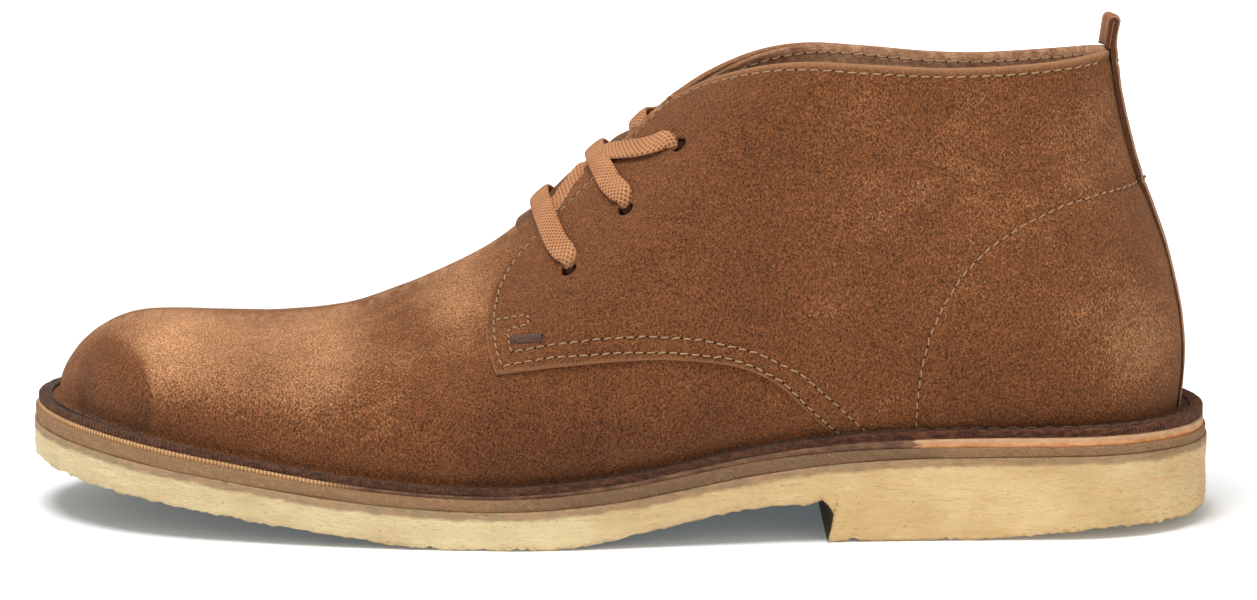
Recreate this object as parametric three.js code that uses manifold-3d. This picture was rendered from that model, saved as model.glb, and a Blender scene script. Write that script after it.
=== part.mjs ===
// Desert boot, left foot, standing empty on its sole.
// Millimetres. Toe at -X, heel at +X, floor at z = 0, outer side of the foot at -Y.
// The origin lies on the floor, in the middle of the sole's length and width.
import * as THREE from 'three';
import Module from 'manifold-3d';

const wasm = await Module();
wasm.setup();

// ---------------------------------------------------------------- driving sizes

const SOLE_LENGTH = 300;
const HALF_LENGTH = SOLE_LENGTH / 2;
const GAP = 0.3; // between neighbouring pieces

const OUTER = -1; // side signs along Y
const INNER = 1;

// Sole outline from above: half width, and swing of the middle line towards the inner side.
const OUTLINE = [
  { x: -150, half: 41.0, swing: 7.4 },
  { x: -120, half: 45.0, swing: 5.9 },
  { x: -75, half: 52.0, swing: 2.6 },
  { x: -42, half: 54.0, swing: 0.0 },
  { x: -15, half: 51.5, swing: -3.0 },
  { x: 15, half: 45.0, swing: -5.2 },
  { x: 45, half: 40.5, swing: -5.2 },
  { x: 75, half: 39.0, swing: -4.2 },
  { x: 114, half: 39.5, swing: -3.0 },
  { x: 150, half: 39.0, swing: -2.6 },
];
const TOE_ROUND = { reach: 46, power: 2.15 };
const HEEL_ROUND = { reach: 42, power: 2.1 };

// Tread line: flat under the ball, toe spring in front, arch rise up to the heel breast.
const TREAD = {
  springFrom: -42, springRise: 14.2, springPower: 1.15,
  archFrom: -20, archTo: 42, archRise: 9.5,
  heelFrom: 84, heelTo: 128, heelRise: 2.8,
};
const BREAST = { top: 52.6, hollow: 54.1, foot: 52.9, hollowShare: 0.6 };
const SOLE_EDGE_ROUND = { wide: 0.8, high: 1.4, tipWide: 1.8, tipHigh: 2.6, tipReach: 40 };

// Heights of the tops of the sole's layers along the boot.
const LAYERS = [
  { x: -150, crepe: 23.2, midsole: 26.6, welt: 27.9 },
  { x: -129.5, crepe: 20.1, midsole: 23.4, welt: 24.7 },
  { x: -103, crepe: 16.2, midsole: 19.4, welt: 20.6 },
  { x: -66, crepe: 11.4, midsole: 14.3, welt: 15.3 },
  { x: -31, crepe: 9.5, midsole: 12.3, welt: 13.2 },
  { x: 0, crepe: 11.6, midsole: 14.6, welt: 15.7 },
  { x: 34, crepe: 17.3, midsole: 20.4, welt: 21.8 },
  { x: 60, crepe: 20.0, midsole: 22.6, welt: 24.5 },
  { x: 93, crepe: 20.8, midsole: 23.0, welt: 25.3 },
  { x: 150, crepe: 20.8, midsole: 23.0, welt: 25.3 },
];

// Leather of the upper: the vamp and lining run all round, the quarters lie on top of it.
const WALL = 1.5;
const QUARTER_THICK = 1.1;
const QUARTER_SINK = 1.8; // the quarter is one with the wall and lining under it
const FLANGE_THICK = 1.8; // upper turned out on the welt and stitched down

// Feather line, where the upper's wall stands on its turned-out edge.
const TOE_X = -143.4;
const HEEL_X = 140.4;
const FEATHER = [
  { x: -143, half: 36.5, bellyOut: 2.6, bellyIn: 2.6 },
  { x: -120, half: 39.5, bellyOut: 3.4, bellyIn: 3.2 },
  { x: -75, half: 46.8, bellyOut: 4.6, bellyIn: 3.6 },
  { x: -42, half: 49.0, bellyOut: 5.2, bellyIn: 3.6 },
  { x: -15, half: 46.2, bellyOut: 5.6, bellyIn: 2.6 },
  { x: 15, half: 39.6, bellyOut: 5.6, bellyIn: 2.0 },
  { x: 45, half: 34.8, bellyOut: 5.0, bellyIn: 2.6 },
  { x: 75, half: 32.6, bellyOut: 3.6, bellyIn: 3.0 },
  { x: 140, half: 32.4, bellyOut: 2.2, bellyIn: 2.2 },
];
const TOE_BOX = { reach: 42, power: 2.2 };
const BELLY_HEIGHT = 15; // widest girth above the feather line
const BELLY_SHARE = 0.42; // of the height, where the toe box is low
const TUCK_POWER = 2.4;

// Top middle line of the last, with its sideways offset and the shape of its crown.
const RIDGE = [
  { x: -143, z: 48.6, offset: 7.4, power: 2.15, reach: 50 },
  { x: -115, z: 48.8, offset: 6.6, power: 2.15, reach: 50 },
  { x: -90, z: 48.5, offset: 6.0, power: 2.1, reach: 50 },
  { x: -70, z: 50.8, offset: 5.6, power: 2.0, reach: 48 },
  { x: -50, z: 58.4, offset: 5.2, power: 1.9, reach: 47 },
  { x: -30, z: 69.4, offset: 4.8, power: 1.85, reach: 46 },
  { x: -12, z: 84.6, offset: 4.4, power: 1.9, reach: 40 },
  { x: 4, z: 97.9, offset: 3.6, power: 2.0, reach: 33 },
  { x: 20, z: 111.4, offset: 2.6, power: 2.05, reach: 26 },
  { x: 40, z: 127.0, offset: 1.4, power: 2.1, reach: 24 },
  { x: 80, z: 150.0, offset: 0.4, power: 2.1, reach: 24 },
  { x: 140, z: 160.0, offset: -0.6, power: 2.1, reach: 24 },
];
const TOE_FRONT = { reach: 23, power: 2.05 };

// Leg of the boot: half width at the collar, and the heights between which it narrows to that.
const LEG = [
  { x: -60, half: 30.0 },
  { x: 30, half: 27.8 },
  { x: 60, half: 26.8 },
  { x: 90, half: 21.6 },
  { x: 125, half: 19.0 },
];
const LEG_RISE = { from: 15, full: 96 };

// Back middle line, from the feather line up to the collar.
const BACK = [
  { z: 20, x: 139.6, reach: 43 },
  { z: 30, x: 141.0, reach: 43 },
  { z: 40, x: 141.7, reach: 42 },
  { z: 50, x: 141.0, reach: 41 },
  { z: 60, x: 139.0, reach: 40 },
  { z: 70, x: 136.3, reach: 38 },
  { z: 80, x: 132.6, reach: 36 },
  { z: 90, x: 129.1, reach: 34 },
  { z: 100, x: 126.3, reach: 31 },
  { z: 110, x: 124.3, reach: 28 },
  { z: 122, x: 122.8, reach: 26 },
];
const BACK_POWER = 2.1;

// Collar line from the throat to the back.
const COLLAR = [
  { x: 10, z: 102.2, innerDrop: 1.6 },
  { x: 16, z: 106.6, innerDrop: 1.7 },
  { x: 24, z: 111.2, innerDrop: 1.4 },
  { x: 36, z: 115.2, innerDrop: 0.7 },
  { x: 48, z: 116.8, innerDrop: 0.3 },
  { x: 62, z: 116.4, innerDrop: 0.3 },
  { x: 80, z: 115.3, innerDrop: 0.4 },
  { x: 95, z: 115.6, innerDrop: 0.7 },
  { x: 110, z: 116.7, innerDrop: 0.5 },
  { x: 124, z: 118.4, innerDrop: 0.0 },
];
const COLLAR_BACK_X = 122.9;
const THROAT_TOP_X = 12.5; // where the collar line meets the top middle line
const LINING_DROP = 0.6; // the lining ends this far under the quarter's edge

// Grid of the last's skin: which point of the top line each point of the feather line goes to.
const RIBS = [
  { foot: -143.4, top: -138.2 },
  { foot: -128, top: -126 },
  { foot: -100, top: -99 },
  { foot: -50, top: -54 },
  { foot: 0, top: -26 },
  { foot: 45, top: 12.5 },
  { foot: 95, top: 66 },
  { foot: 140.4, top: 122.9 },
];
const SKIN_STEPS = { long: 34, high: 12, crowding: 0.4 };
const QUARTER_STEPS = { long: 18, high: 12 };

// Quarter edges in the side view: bottom edge backwards, then front edge upwards.
const QUARTER_BOTTOM = [
  { x: -29.9, z: 42.7 },
  { x: -22.0, z: 43.9 },
  { x: -15.5, z: 44.8 },
  { x: 0.7, z: 46.1 },
  { x: 13.6, z: 46.2 },
  { x: 26.4, z: 44.9 },
  { x: 32.8, z: 43.0 },
  { x: 39.3, z: 39.4 },
  { x: 46.2, z: 32.9 },
  { x: 54.2, z: 25.2 },
  { x: 62.0, z: 18.0 },
];
const QUARTER_FRONT = [
  { x: -29.9, z: 42.7 },
  { x: -31.9, z: 48.0 },
  { x: -32.4, z: 53.0 },
  { x: -31.7, z: 57.4 },
  { x: -30.2, z: 60.8 },
  { x: -27.4, z: 65.0 },
];
// Throat edges: distance from the top middle line to each quarter's edge.
const THROAT = [
  { x: -24.5, outer: 19.0, inner: 17.5 },
  { x: -19, outer: 17.0, inner: 14.5 },
  { x: -12, outer: 15.0, inner: 12.0 },
  { x: -4, outer: 12.5, inner: 11.0 },
  { x: 4, outer: 9.5, inner: 11.8 },
  { x: 12.5, outer: 7.0, inner: 11.2 },
];
const THROAT_FOOT_X = -16; // the vamp's top edge
const THROAT_LINING_SET_BACK = 1.2;

const LACE_HOLES = [
  { x: -11.9, z: 66.0 },
  { x: 2.1, z: 80.4 },
  { x: 15.4, z: 95.8 },
];
const LACE_HOLE_DIAMETER = 4;
const LACE = { wide: 6, thick: 1.4, lift: 0.5, underBar: 1.2 };
// Where each length of lace crosses the middle line.
const LACE_ON_RIDGE = { low: -18.8, mid: -4.8, outerRun: -4.5, innerRun: -1.5 };

const TONGUE = { from: -38, to: 14, half: 20, thick: 1.5, under: 1.0 };
const INSOLE = { thick: 2.6, inset: 3.4 };
const WELT_INSET = 3; // the welt's inner edge inside the feather line
const MIDSOLE_INSET = 0.6;
const WELT_EDGE_INSET = 0.9;
const FLANGE_EDGE_INSET = 1.1;
const SOLE_STATIONS = 54;

const STRAP = {
  half: 7, thick: 1.1, under: 0.35, foot: 29, loopTop: 126.6, loopHalf: 1.5, lean: 0.9, round: 26,
};

const COLOURS = {
  crepe: 0xdcc995, board: 0x8f7452, welt: 0xb9773c, suede: 0x8f5a2f,
  tongue: 0x4a3020, insole: 0x5a3d28, strap: 0x7d4a26, lace: 0xb8733a,
};

// ---------------------------------------------------------------- reading tables and shapes

// Smooth reading of one column of a table at a place along its key column.
function read(rows, key, column, place) {
  const last = rows.length - 1;
  if (place <= rows[0][key]) return rows[0][column];
  if (place >= rows[last][key]) return rows[last][column];
  const i = rows.findIndex((row, k) => k < last && place <= rows[k + 1][key]);
  const slope = (k) => {
    const a = rows[Math.max(k - 1, 0)];
    const b = rows[Math.min(k + 1, last)];
    return (b[column] - a[column]) / (b[key] - a[key]);
  };
  const span = rows[i + 1][key] - rows[i][key];
  const t = (place - rows[i][key]) / span;
  const rise = t * t * (3 - 2 * t);
  const bend = slope(i) * t * (1 - t) ** 2 - slope(i + 1) * t * t * (1 - t);
  return rows[i][column] + (rows[i + 1][column] - rows[i][column]) * rise + bend * span;
}

const lerp = (a, b, t) => a + (b - a) * t;
const clamp01 = (t) => Math.min(Math.max(t, 0), 1);
const ease = (t) => clamp01(t) ** 2 * (3 - 2 * clamp01(t));
const bothEnds = (t) => (1 - Math.cos(Math.PI * t)) / 2; // steps crowd at both ends
const someEnds = (t) => lerp(t, bothEnds(t), SKIN_STEPS.crowding);

// Rounded end: 0 at the tip, 1 from the reach inwards.
function cap(distance, round) {
  const t = clamp01(distance / round.reach);
  return (1 - (1 - t) ** round.power) ** (1 / round.power);
}

function treadHeight(x) {
  const spring = clamp01((TREAD.springFrom - x) / (TREAD.springFrom + HALF_LENGTH));
  const arch = ease((x - TREAD.archFrom) / (TREAD.archTo - TREAD.archFrom));
  const heel = ease((x - TREAD.heelFrom) / (TREAD.heelTo - TREAD.heelFrom));
  if (x > BREAST.top) return TREAD.heelRise * heel;
  return TREAD.springRise * spring ** TREAD.springPower + TREAD.archRise * arch;
}

// Half width of the sole, drawn in by an inset all round.
function soleHalf(x, inset) {
  const toe = cap(x + HALF_LENGTH - inset, TOE_ROUND);
  const heel = cap(HALF_LENGTH - inset - x, HEEL_ROUND);
  return (read(OUTLINE, 'x', 'half', x) - inset) * toe * heel;
}

const swing = (x) => read(OUTLINE, 'x', 'swing', x);

// ---------------------------------------------------------------- shape of the last

const featherZ = (x) => read(LAYERS, 'x', 'welt', x) + GAP + FLANGE_THICK;
const wallFootZ = (x) => featherZ(x) - FLANGE_THICK / 2; // inside the turned-out edge
const backX = (z) => read(BACK, 'z', 'x', z);

function collarZ(x, side = OUTER) {
  const drop = side === INNER ? read(COLLAR, 'x', 'innerDrop', x) : 0;
  return read(COLLAR, 'x', 'z', x) - drop;
}

function ridgeZ(x) {
  const foot = featherZ(x);
  return foot + (read(RIDGE, 'x', 'z', x) - foot) * cap(x - TOE_X, TOE_FRONT);
}

function bellyHeight(x) {
  return Math.min(BELLY_HEIGHT, BELLY_SHARE * (ridgeZ(x) - featherZ(x)));
}

// Width of the last on one side before its crown and heel are rounded.
function sideWidth(x, z, side) {
  const rise = z - featherZ(x);
  const tuck = 1 - (1 - clamp01(rise / Math.max(bellyHeight(x), 1))) ** TUCK_POWER;
  const belly = read(FEATHER, 'x', side === OUTER ? 'bellyOut' : 'bellyIn', x);
  const low = read(FEATHER, 'x', 'half', x) + belly * tuck;
  const narrowing = ease((rise - LEG_RISE.from) / (LEG_RISE.full - LEG_RISE.from));
  return lerp(low, read(LEG, 'x', 'half', x), narrowing);
}

// Distance from the last's middle surface to its skin at a point of the side view.
function halfWidth(x, z, side) {
  const crownRoom = Math.max(ridgeZ(x) - featherZ(x) - bellyHeight(x), 0.01);
  const reach = (crownRoom ** -4 + read(RIDGE, 'x', 'reach', x) ** -4) ** -0.25;
  const crown = cap(ridgeZ(x) - z, { reach, power: read(RIDGE, 'x', 'power', x) });
  const back = cap(backX(z) - x, { reach: read(BACK, 'z', 'reach', z), power: BACK_POWER });
  return sideWidth(x, z, side) * crown * back * cap(x - TOE_X, TOE_BOX);
}

function middleY(x, z) {
  const foot = featherZ(x);
  const share = ease((z - foot) / Math.max(read(RIDGE, 'x', 'z', x) - foot, 1));
  return lerp(swing(x), read(RIDGE, 'x', 'offset', x), share);
}

function skinPoint(x, z, side) {
  return new THREE.Vector3(x, middleY(x, z) + side * halfWidth(x, z, side), z);
}

// Outward direction of the skin away from its edges.
function skinNormal(x, z, side) {
  const step = 0.2;
  const alongX = skinPoint(x + step, z, side).sub(skinPoint(x - step, z, side));
  const alongZ = skinPoint(x, z + step, side).sub(skinPoint(x, z - step, side));
  return alongX.cross(alongZ).multiplyScalar(-side).normalize();
}

// Upward direction square to the top middle line.
function ridgeNormal(x) {
  const step = 0.5;
  const slope = (ridgeZ(x + step) - ridgeZ(x - step)) / (2 * step);
  return new THREE.Vector3(-slope, 0, 1).normalize();
}

// Point of the skin beside the top middle line, a given distance out to one side.
function besideRidge(x, across) {
  const up = ridgeNormal(x);
  const side = across < 0 ? OUTER : INNER;
  const at = (depth) => ({ x: x - up.x * depth, z: ridgeZ(x) - up.z * depth });
  let shallow = 0;
  let deep = 45;
  for (let i = 0; i < 40; i += 1) {
    const middle = (shallow + deep) / 2;
    const place = at(middle);
    if (halfWidth(place.x, place.z, side) < Math.abs(across)) shallow = middle;
    else deep = middle;
  }
  const place = at(deep);
  return new THREE.Vector3(place.x, middleY(place.x, place.z) + across, place.z);
}

// ---------------------------------------------------------------- meshes

// A surface of welded points and triangles, which can be thickened to a closed solid.
class Sheet {
  constructor() {
    this.points = [];
    this.faces = [];
    this.lookup = new Map();
  }

  vertex(point) {
    const key = [point.x, point.y, point.z].map((value) => Math.round(value * 1e4)).join();
    if (!this.lookup.has(key)) {
      this.lookup.set(key, this.points.length);
      this.points.push(point.clone());
    }
    return this.lookup.get(key);
  }

  face(a, b, c) {
    if (a !== b && b !== c && c !== a) this.faces.push([a, b, c]);
  }

  // Two triangles that meet along the shorter diagonal.
  quad(corners) {
    const [a, b, c, d] = corners.map((id) => this.points[id]);
    const [p, q, r, s] = a.distanceTo(c) <= b.distanceTo(d) ? corners : [...corners.slice(1), corners[0]];
    this.face(p, q, r);
    this.face(p, r, s);
  }

  // Rows of points, seen with the rows going right and the points going up.
  grid(rows, flip = false) {
    const ids = rows.map((row) => row.map((point) => this.vertex(point)));
    for (let i = 0; i + 1 < ids.length; i += 1) {
      for (let j = 0; j + 1 < ids[i].length; j += 1) {
        const corners = [ids[i][j], ids[i + 1][j], ids[i + 1][j + 1], ids[i][j + 1]];
        if (flip) corners.reverse();
        this.quad(corners);
      }
    }
    return this;
  }

  normals() {
    const sums = this.points.map(() => new THREE.Vector3());
    for (const face of this.faces) {
      const [a, b, c] = face.map((id) => this.points[id]);
      const area = b.clone().sub(a).cross(c.clone().sub(a));
      face.forEach((id) => sums[id].add(area));
    }
    return sums.map((sum) => sum.normalize());
  }

  // Solid between two offsets of the surface, with walls along its free edges.
  thicken(outward, inward) {
    const normals = this.normals();
    const count = this.points.length;
    const at = (offset) => this.points.map((p, i) => p.clone().addScaledVector(normals[i], offset));
    const points = [...at(outward), ...at(inward)];
    const faces = this.faces.flatMap(([a, b, c]) => [[a, b, c], [c + count, b + count, a + count]]);
    const edges = new Set(this.faces.flatMap(([a, b, c]) => [`${a},${b}`, `${b},${c}`, `${c},${a}`]));
    for (const edge of edges) {
      const [a, b] = edge.split(',').map(Number);
      if (!edges.has(`${b},${a}`)) faces.push([b, a, a + count], [b, a + count, b + count]);
    }
    return solidFrom(points, faces);
  }
}

function solidFrom(points, faces) {
  const vertProperties = new Float32Array(points.flatMap((p) => [p.x, p.y, p.z]));
  const triVerts = new Uint32Array(faces.flat());
  return new wasm.Manifold(new wasm.Mesh({ numProp: 3, vertProperties, triVerts }));
}

// Closed solid from a row of closed sections whose first and last shrink to an edge or a point.
function loft(sections) {
  const sheet = new Sheet();
  sheet.grid(sections.map((section) => [...section, section[0]]), true);
  return solidFrom(sheet.points, sheet.faces);
}

// Closed ring: loops of points round the boot, each loop joined to the next.
function ring(loops) {
  const sheet = new Sheet();
  const closed = [...loops, loops[0]].map((loop) => [...loop, loop[0]]);
  sheet.grid(closed, true);
  return solidFrom(sheet.points, sheet.faces);
}

function node(name, solid, colour, roughness) {
  const mesh = solid.getMesh();
  const geometry = new THREE.BufferGeometry();
  geometry.setAttribute('position', new THREE.BufferAttribute(mesh.vertProperties, mesh.numProp));
  geometry.setIndex(new THREE.BufferAttribute(mesh.triVerts, 1));
  geometry.computeVertexNormals();
  const material = new THREE.MeshStandardMaterial({ color: colour, roughness, metalness: 0 });
  const result = new THREE.Mesh(geometry, material);
  result.name = name;
  return result;
}

// ---------------------------------------------------------------- sole

// Places along the sole, closer together at the toe and heel tips.
function stations(inset) {
  const tip = HALF_LENGTH - inset;
  return Array.from({ length: SOLE_STATIONS + 1 }, (_, k) => -tip + 2 * tip * bothEnds(k / SOLE_STATIONS));
}

// Flat layer that fills the outline between two heights.
function layer(inset, bottom, top, half = soleHalf) {
  const sections = stations(inset).map((x) => {
    const wide = half(x, inset);
    const corner = (side, z) => new THREE.Vector3(x, swing(x) + side * wide, z);
    return [
      corner(OUTER, bottom(x)), corner(INNER, bottom(x)), corner(INNER, top(x)), corner(OUTER, top(x)),
    ];
  });
  return loft(sections);
}

function outsole() {
  const round = (x, edge, tip) => (
    lerp(tip, edge, clamp01((HALF_LENGTH - Math.abs(x)) / SOLE_EDGE_ROUND.tipReach))
  );
  const section = ({ x, bottomX, bottomZ }) => {
    const wide = round(x, SOLE_EDGE_ROUND.wide, SOLE_EDGE_ROUND.tipWide);
    const high = round(x, SOLE_EDGE_ROUND.high, SOLE_EDGE_ROUND.tipHigh);
    const scaled = bottomX * (1 - wide / HALF_LENGTH);
    const foot = (side) => new THREE.Vector3(
      Math.abs(bottomX) > HALF_LENGTH / 2 ? scaled : bottomX,
      swing(x) + side * soleHalf(scaled, wide),
      bottomZ,
    );
    const edge = (side, z) => new THREE.Vector3(x, swing(x) + side * soleHalf(x, 0), z);
    const top = read(LAYERS, 'x', 'crepe', x);
    return [
      foot(OUTER), foot(INNER), edge(INNER, bottomZ + high),
      edge(INNER, top), edge(OUTER, top), edge(OUTER, bottomZ + high),
    ];
  };
  const front = stations(0).filter((x) => x < BREAST.top - 2)
    .concat([TREAD.springFrom, TREAD.archFrom])
    .sort((a, b) => a - b)
    .map((x) => ({ x, bottomX: x, bottomZ: treadHeight(x) }));
  const breast = [
    { x: BREAST.top, bottomX: BREAST.top, bottomZ: TREAD.archRise },
    {
      x: lerp(BREAST.top, BREAST.hollow, 0.5),
      bottomX: BREAST.hollow,
      bottomZ: TREAD.archRise * BREAST.hollowShare,
    },
    { x: BREAST.hollow, bottomX: BREAST.foot, bottomZ: 0 },
  ];
  const heel = stations(0).filter((x) => x > BREAST.hollow + 2)
    .concat([TREAD.heelFrom])
    .sort((a, b) => a - b)
    .map((x) => ({ x, bottomX: x, bottomZ: treadHeight(x) }));
  return loft([...front, ...breast, ...heel].map(section));
}

function midsole() {
  const bottom = (x) => read(LAYERS, 'x', 'crepe', x) + GAP;
  return layer(MIDSOLE_INSET, bottom, (x) => read(LAYERS, 'x', 'midsole', x));
}

// ---------------------------------------------------------------- plan loops of the upper's foot

// Loop round the boot: outer side from toe to heel, then inner side back to the toe.
function planLoop(tip, half, height) {
  const steps = SKIN_STEPS.long;
  const point = (k, side) => {
    const x = lerp(tip.toe, tip.heel, bothEnds(k / steps));
    return new THREE.Vector3(x, swing(x) + side * half(x, side), height(x));
  };
  const out = Array.from({ length: steps + 1 }, (_, k) => point(k, OUTER));
  const back = Array.from({ length: steps - 1 }, (_, k) => point(steps - 1 - k, INNER));
  return [...out, ...back];
}

const clampFeather = (x) => Math.min(Math.max(x, TOE_X), HEEL_X);

function featherLoop(inset, height) {
  const tip = { toe: TOE_X + inset, heel: HEEL_X - inset };
  const half = (x, side) => {
    const toward = (x - (TOE_X + HEEL_X) / 2) / (1 - (2 * inset) / (HEEL_X - TOE_X));
    const outside = clampFeather((TOE_X + HEEL_X) / 2 + toward);
    const full = halfWidth(outside, featherZ(outside), side);
    return full * (1 - inset / read(FEATHER, 'x', 'half', outside));
  };
  return planLoop(tip, half, height);
}

function soleLoop(inset, height) {
  const tip = HALF_LENGTH - inset;
  return planLoop({ toe: -tip, heel: tip }, (x) => soleHalf(x, inset), height);
}

function welt() {
  const bottom = (x) => read(LAYERS, 'x', 'midsole', x) + GAP;
  const top = (x) => read(LAYERS, 'x', 'welt', x);
  return ring([
    soleLoop(WELT_EDGE_INSET, bottom), soleLoop(WELT_EDGE_INSET, top),
    featherLoop(WELT_INSET, top), featherLoop(WELT_INSET, bottom),
  ]);
}

function insole() {
  const bottom = (x) => read(LAYERS, 'x', 'midsole', x) + GAP;
  const loopBottom = featherLoop(INSOLE.inset, bottom);
  const loopTop = featherLoop(INSOLE.inset, (x) => bottom(x) + INSOLE.thick);
  const steps = SKIN_STEPS.long;
  const count = loopBottom.length;
  const sections = Array.from({ length: steps + 1 }, (_, k) => {
    const other = (count - k) % count;
    return [loopBottom[k], loopBottom[other], loopTop[other], loopTop[k]];
  });
  return loft(sections);
}

// ---------------------------------------------------------------- upper

// Side view point of the last's grid: u from toe to heel, v from feather line to top line.
function gridPlace(u, v, side) {
  const run = bothEnds(u);
  const rise = someEnds(v);
  const footX = lerp(TOE_X, HEEL_X, run);
  const topX = read(RIBS, 'foot', 'top', footX);
  const topZ = topX < THROAT_TOP_X ? ridgeZ(topX) : collarZ(topX, side) - LINING_DROP;
  const corner = {
    toeTop: RIBS[0].top, toeTopZ: ridgeZ(RIBS[0].top),
    backTop: COLLAR_BACK_X, backTopZ: collarZ(COLLAR_BACK_X) - LINING_DROP,
  };
  const toeX = lerp(TOE_X, corner.toeTop, rise * rise);
  const toeBow = {
    x: toeX - lerp(TOE_X, corner.toeTop, rise),
    z: ridgeZ(toeX) - lerp(wallFootZ(TOE_X), corner.toeTopZ, rise),
  };
  const backZ = lerp(wallFootZ(HEEL_X), corner.backTopZ, rise);
  const backBow = backX(backZ) - lerp(HEEL_X, corner.backTop, rise);
  const toeShare = (1 - run) ** 3;
  return {
    x: lerp(footX, topX, rise) + toeShare * toeBow.x + run ** 2 * backBow,
    z: lerp(wallFootZ(footX), topZ, rise) + toeShare * toeBow.z,
  };
}

function wallSheet() {
  const sheet = new Sheet();
  const steps = SKIN_STEPS;
  for (const side of [OUTER, INNER]) {
    const rows = Array.from({ length: steps.long + 1 }, (_, i) => (
      Array.from({ length: steps.high + 1 }, (_unused, j) => {
        const place = gridPlace(i / steps.long, j / steps.high, side);
        const point = skinPoint(place.x, place.z, side);
        const onRidge = j === steps.high && place.x < THROAT_TOP_X;
        if (i === 0 || i === steps.long || onRidge) point.y = middleY(place.x, place.z);
        return point;
      })
    ));
    sheet.grid(rows, side === INNER);
  }
  return sheet;
}

function frontEdge(side) {
  const across = (row) => (side === OUTER ? -row.outer : row.inner);
  const throat = THROAT.map((row) => besideRidge(row.x, across(row)));
  const low = QUARTER_FRONT.map((row) => new THREE.Vector2(row.x, row.z));
  const high = throat.map((point) => new THREE.Vector2(point.x, point.z));
  return new THREE.SplineCurve([...low, ...high]);
}

function quarterSheet() {
  const steps = QUARTER_STEPS;
  const sheet = new Sheet();
  const bottomFrom = QUARTER_BOTTOM[0].x;
  for (const side of [OUTER, INNER]) {
    const front = frontEdge(side);
    const frontTop = front.getPoint(1);
    const bottom = (t) => {
      const x = lerp(bottomFrom, HEEL_X, t);
      return { x, z: Math.max(read(QUARTER_BOTTOM, 'x', 'z', x), wallFootZ(x)) };
    };
    const top = (t) => {
      const x = lerp(frontTop.x, COLLAR_BACK_X, t);
      return { x, z: t === 0 ? frontTop.y : collarZ(x, side) };
    };
    const back = (t) => {
      const z = lerp(bottom(1).z, top(1).z, t);
      return { x: backX(z), z };
    };
    const rows = Array.from({ length: steps.long + 1 }, (_, i) => (
      Array.from({ length: steps.high + 1 }, (_unused, j) => {
        const u = bothEnds(i / steps.long);
        const v = j / steps.high;
        const edge = front.getPointAt(v);
        const blend = (key, edgeValue) => (
          lerp(bottom(u)[key], top(u)[key], v) + lerp(edgeValue, back(v)[key], u)
          - lerp(lerp(bottom(0)[key], top(0)[key], v), lerp(bottom(1)[key], top(1)[key], v), u)
        );
        const x = blend('x', edge.x);
        const z = blend('z', edge.y);
        const point = skinPoint(x, z, side);
        if (i === steps.long) point.y = middleY(x, z);
        return point;
      })
    ));
    sheet.grid(rows, side === INNER);
  }
  return sheet;
}

function flange() {
  const bottom = (x) => read(LAYERS, 'x', 'welt', x) + GAP;
  return ring([
    soleLoop(FLANGE_EDGE_INSET, bottom), soleLoop(FLANGE_EDGE_INSET, featherZ),
    featherLoop(WALL, featherZ), featherLoop(WALL, bottom),
  ]);
}

// Band of the skin along the top middle line, from x to x, with its reach to both sides.
function ridgeBand(from, to, span, steps) {
  const rows = Array.from({ length: steps.long + 1 }, (_, i) => {
    const x = lerp(from, to, i / steps.long);
    const { outer, inner } = span(x);
    return Array.from({ length: steps.across + 1 }, (_unused, j) => (
      besideRidge(x, lerp(-outer, inner, j / steps.across))
    ));
  });
  return new Sheet().grid(rows);
}

function throatCutter() {
  const span = (x) => ({
    outer: read(THROAT, 'x', 'outer', x) + THROAT_LINING_SET_BACK,
    inner: read(THROAT, 'x', 'inner', x) + THROAT_LINING_SET_BACK,
  });
  return ridgeBand(THROAT_FOOT_X, THROAT_TOP_X + 12, span, { long: 8, across: 6 }).thicken(8, -8);
}

function laceHole(hole, side) {
  const length = 16;
  const geometry = new THREE.CylinderGeometry(LACE_HOLE_DIAMETER / 2, LACE_HOLE_DIAMETER / 2, length, 10);
  const normal = skinNormal(hole.x, hole.z, side);
  geometry.applyQuaternion(new THREE.Quaternion().setFromUnitVectors(new THREE.Vector3(0, 1, 0), normal));
  geometry.translate(...skinPoint(hole.x, hole.z, side).toArray());
  return solidOf(geometry);
}

function solidOf(geometry) {
  const sheet = new Sheet();
  const position = geometry.getAttribute('position');
  const ids = Array.from({ length: position.count }, (_, i) => (
    sheet.vertex(new THREE.Vector3().fromBufferAttribute(position, i))
  ));
  const index = geometry.getIndex().array;
  for (let i = 0; i < index.length; i += 3) sheet.face(ids[index[i]], ids[index[i + 1]], ids[index[i + 2]]);
  return solidFrom(sheet.points, sheet.faces);
}

function upper() {
  let solid = wallSheet().thicken(0, -WALL).subtract(throatCutter());
  solid = solid.add(quarterSheet().thicken(QUARTER_THICK, -QUARTER_SINK)).add(flange());
  for (const hole of LACE_HOLES) {
    for (const side of [OUTER, INNER]) solid = solid.subtract(laceHole(hole, side));
  }
  return solid;
}

function tongue() {
  const outside = -(QUARTER_SINK + TONGUE.under);
  const steps = { long: 9, across: 10 };
  const span = () => ({ outer: TONGUE.half, inner: TONGUE.half });
  return ridgeBand(TONGUE.from, TONGUE.to, span, steps)
    .thicken(outside, outside - TONGUE.thick);
}

// ---------------------------------------------------------------- back strap

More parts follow.
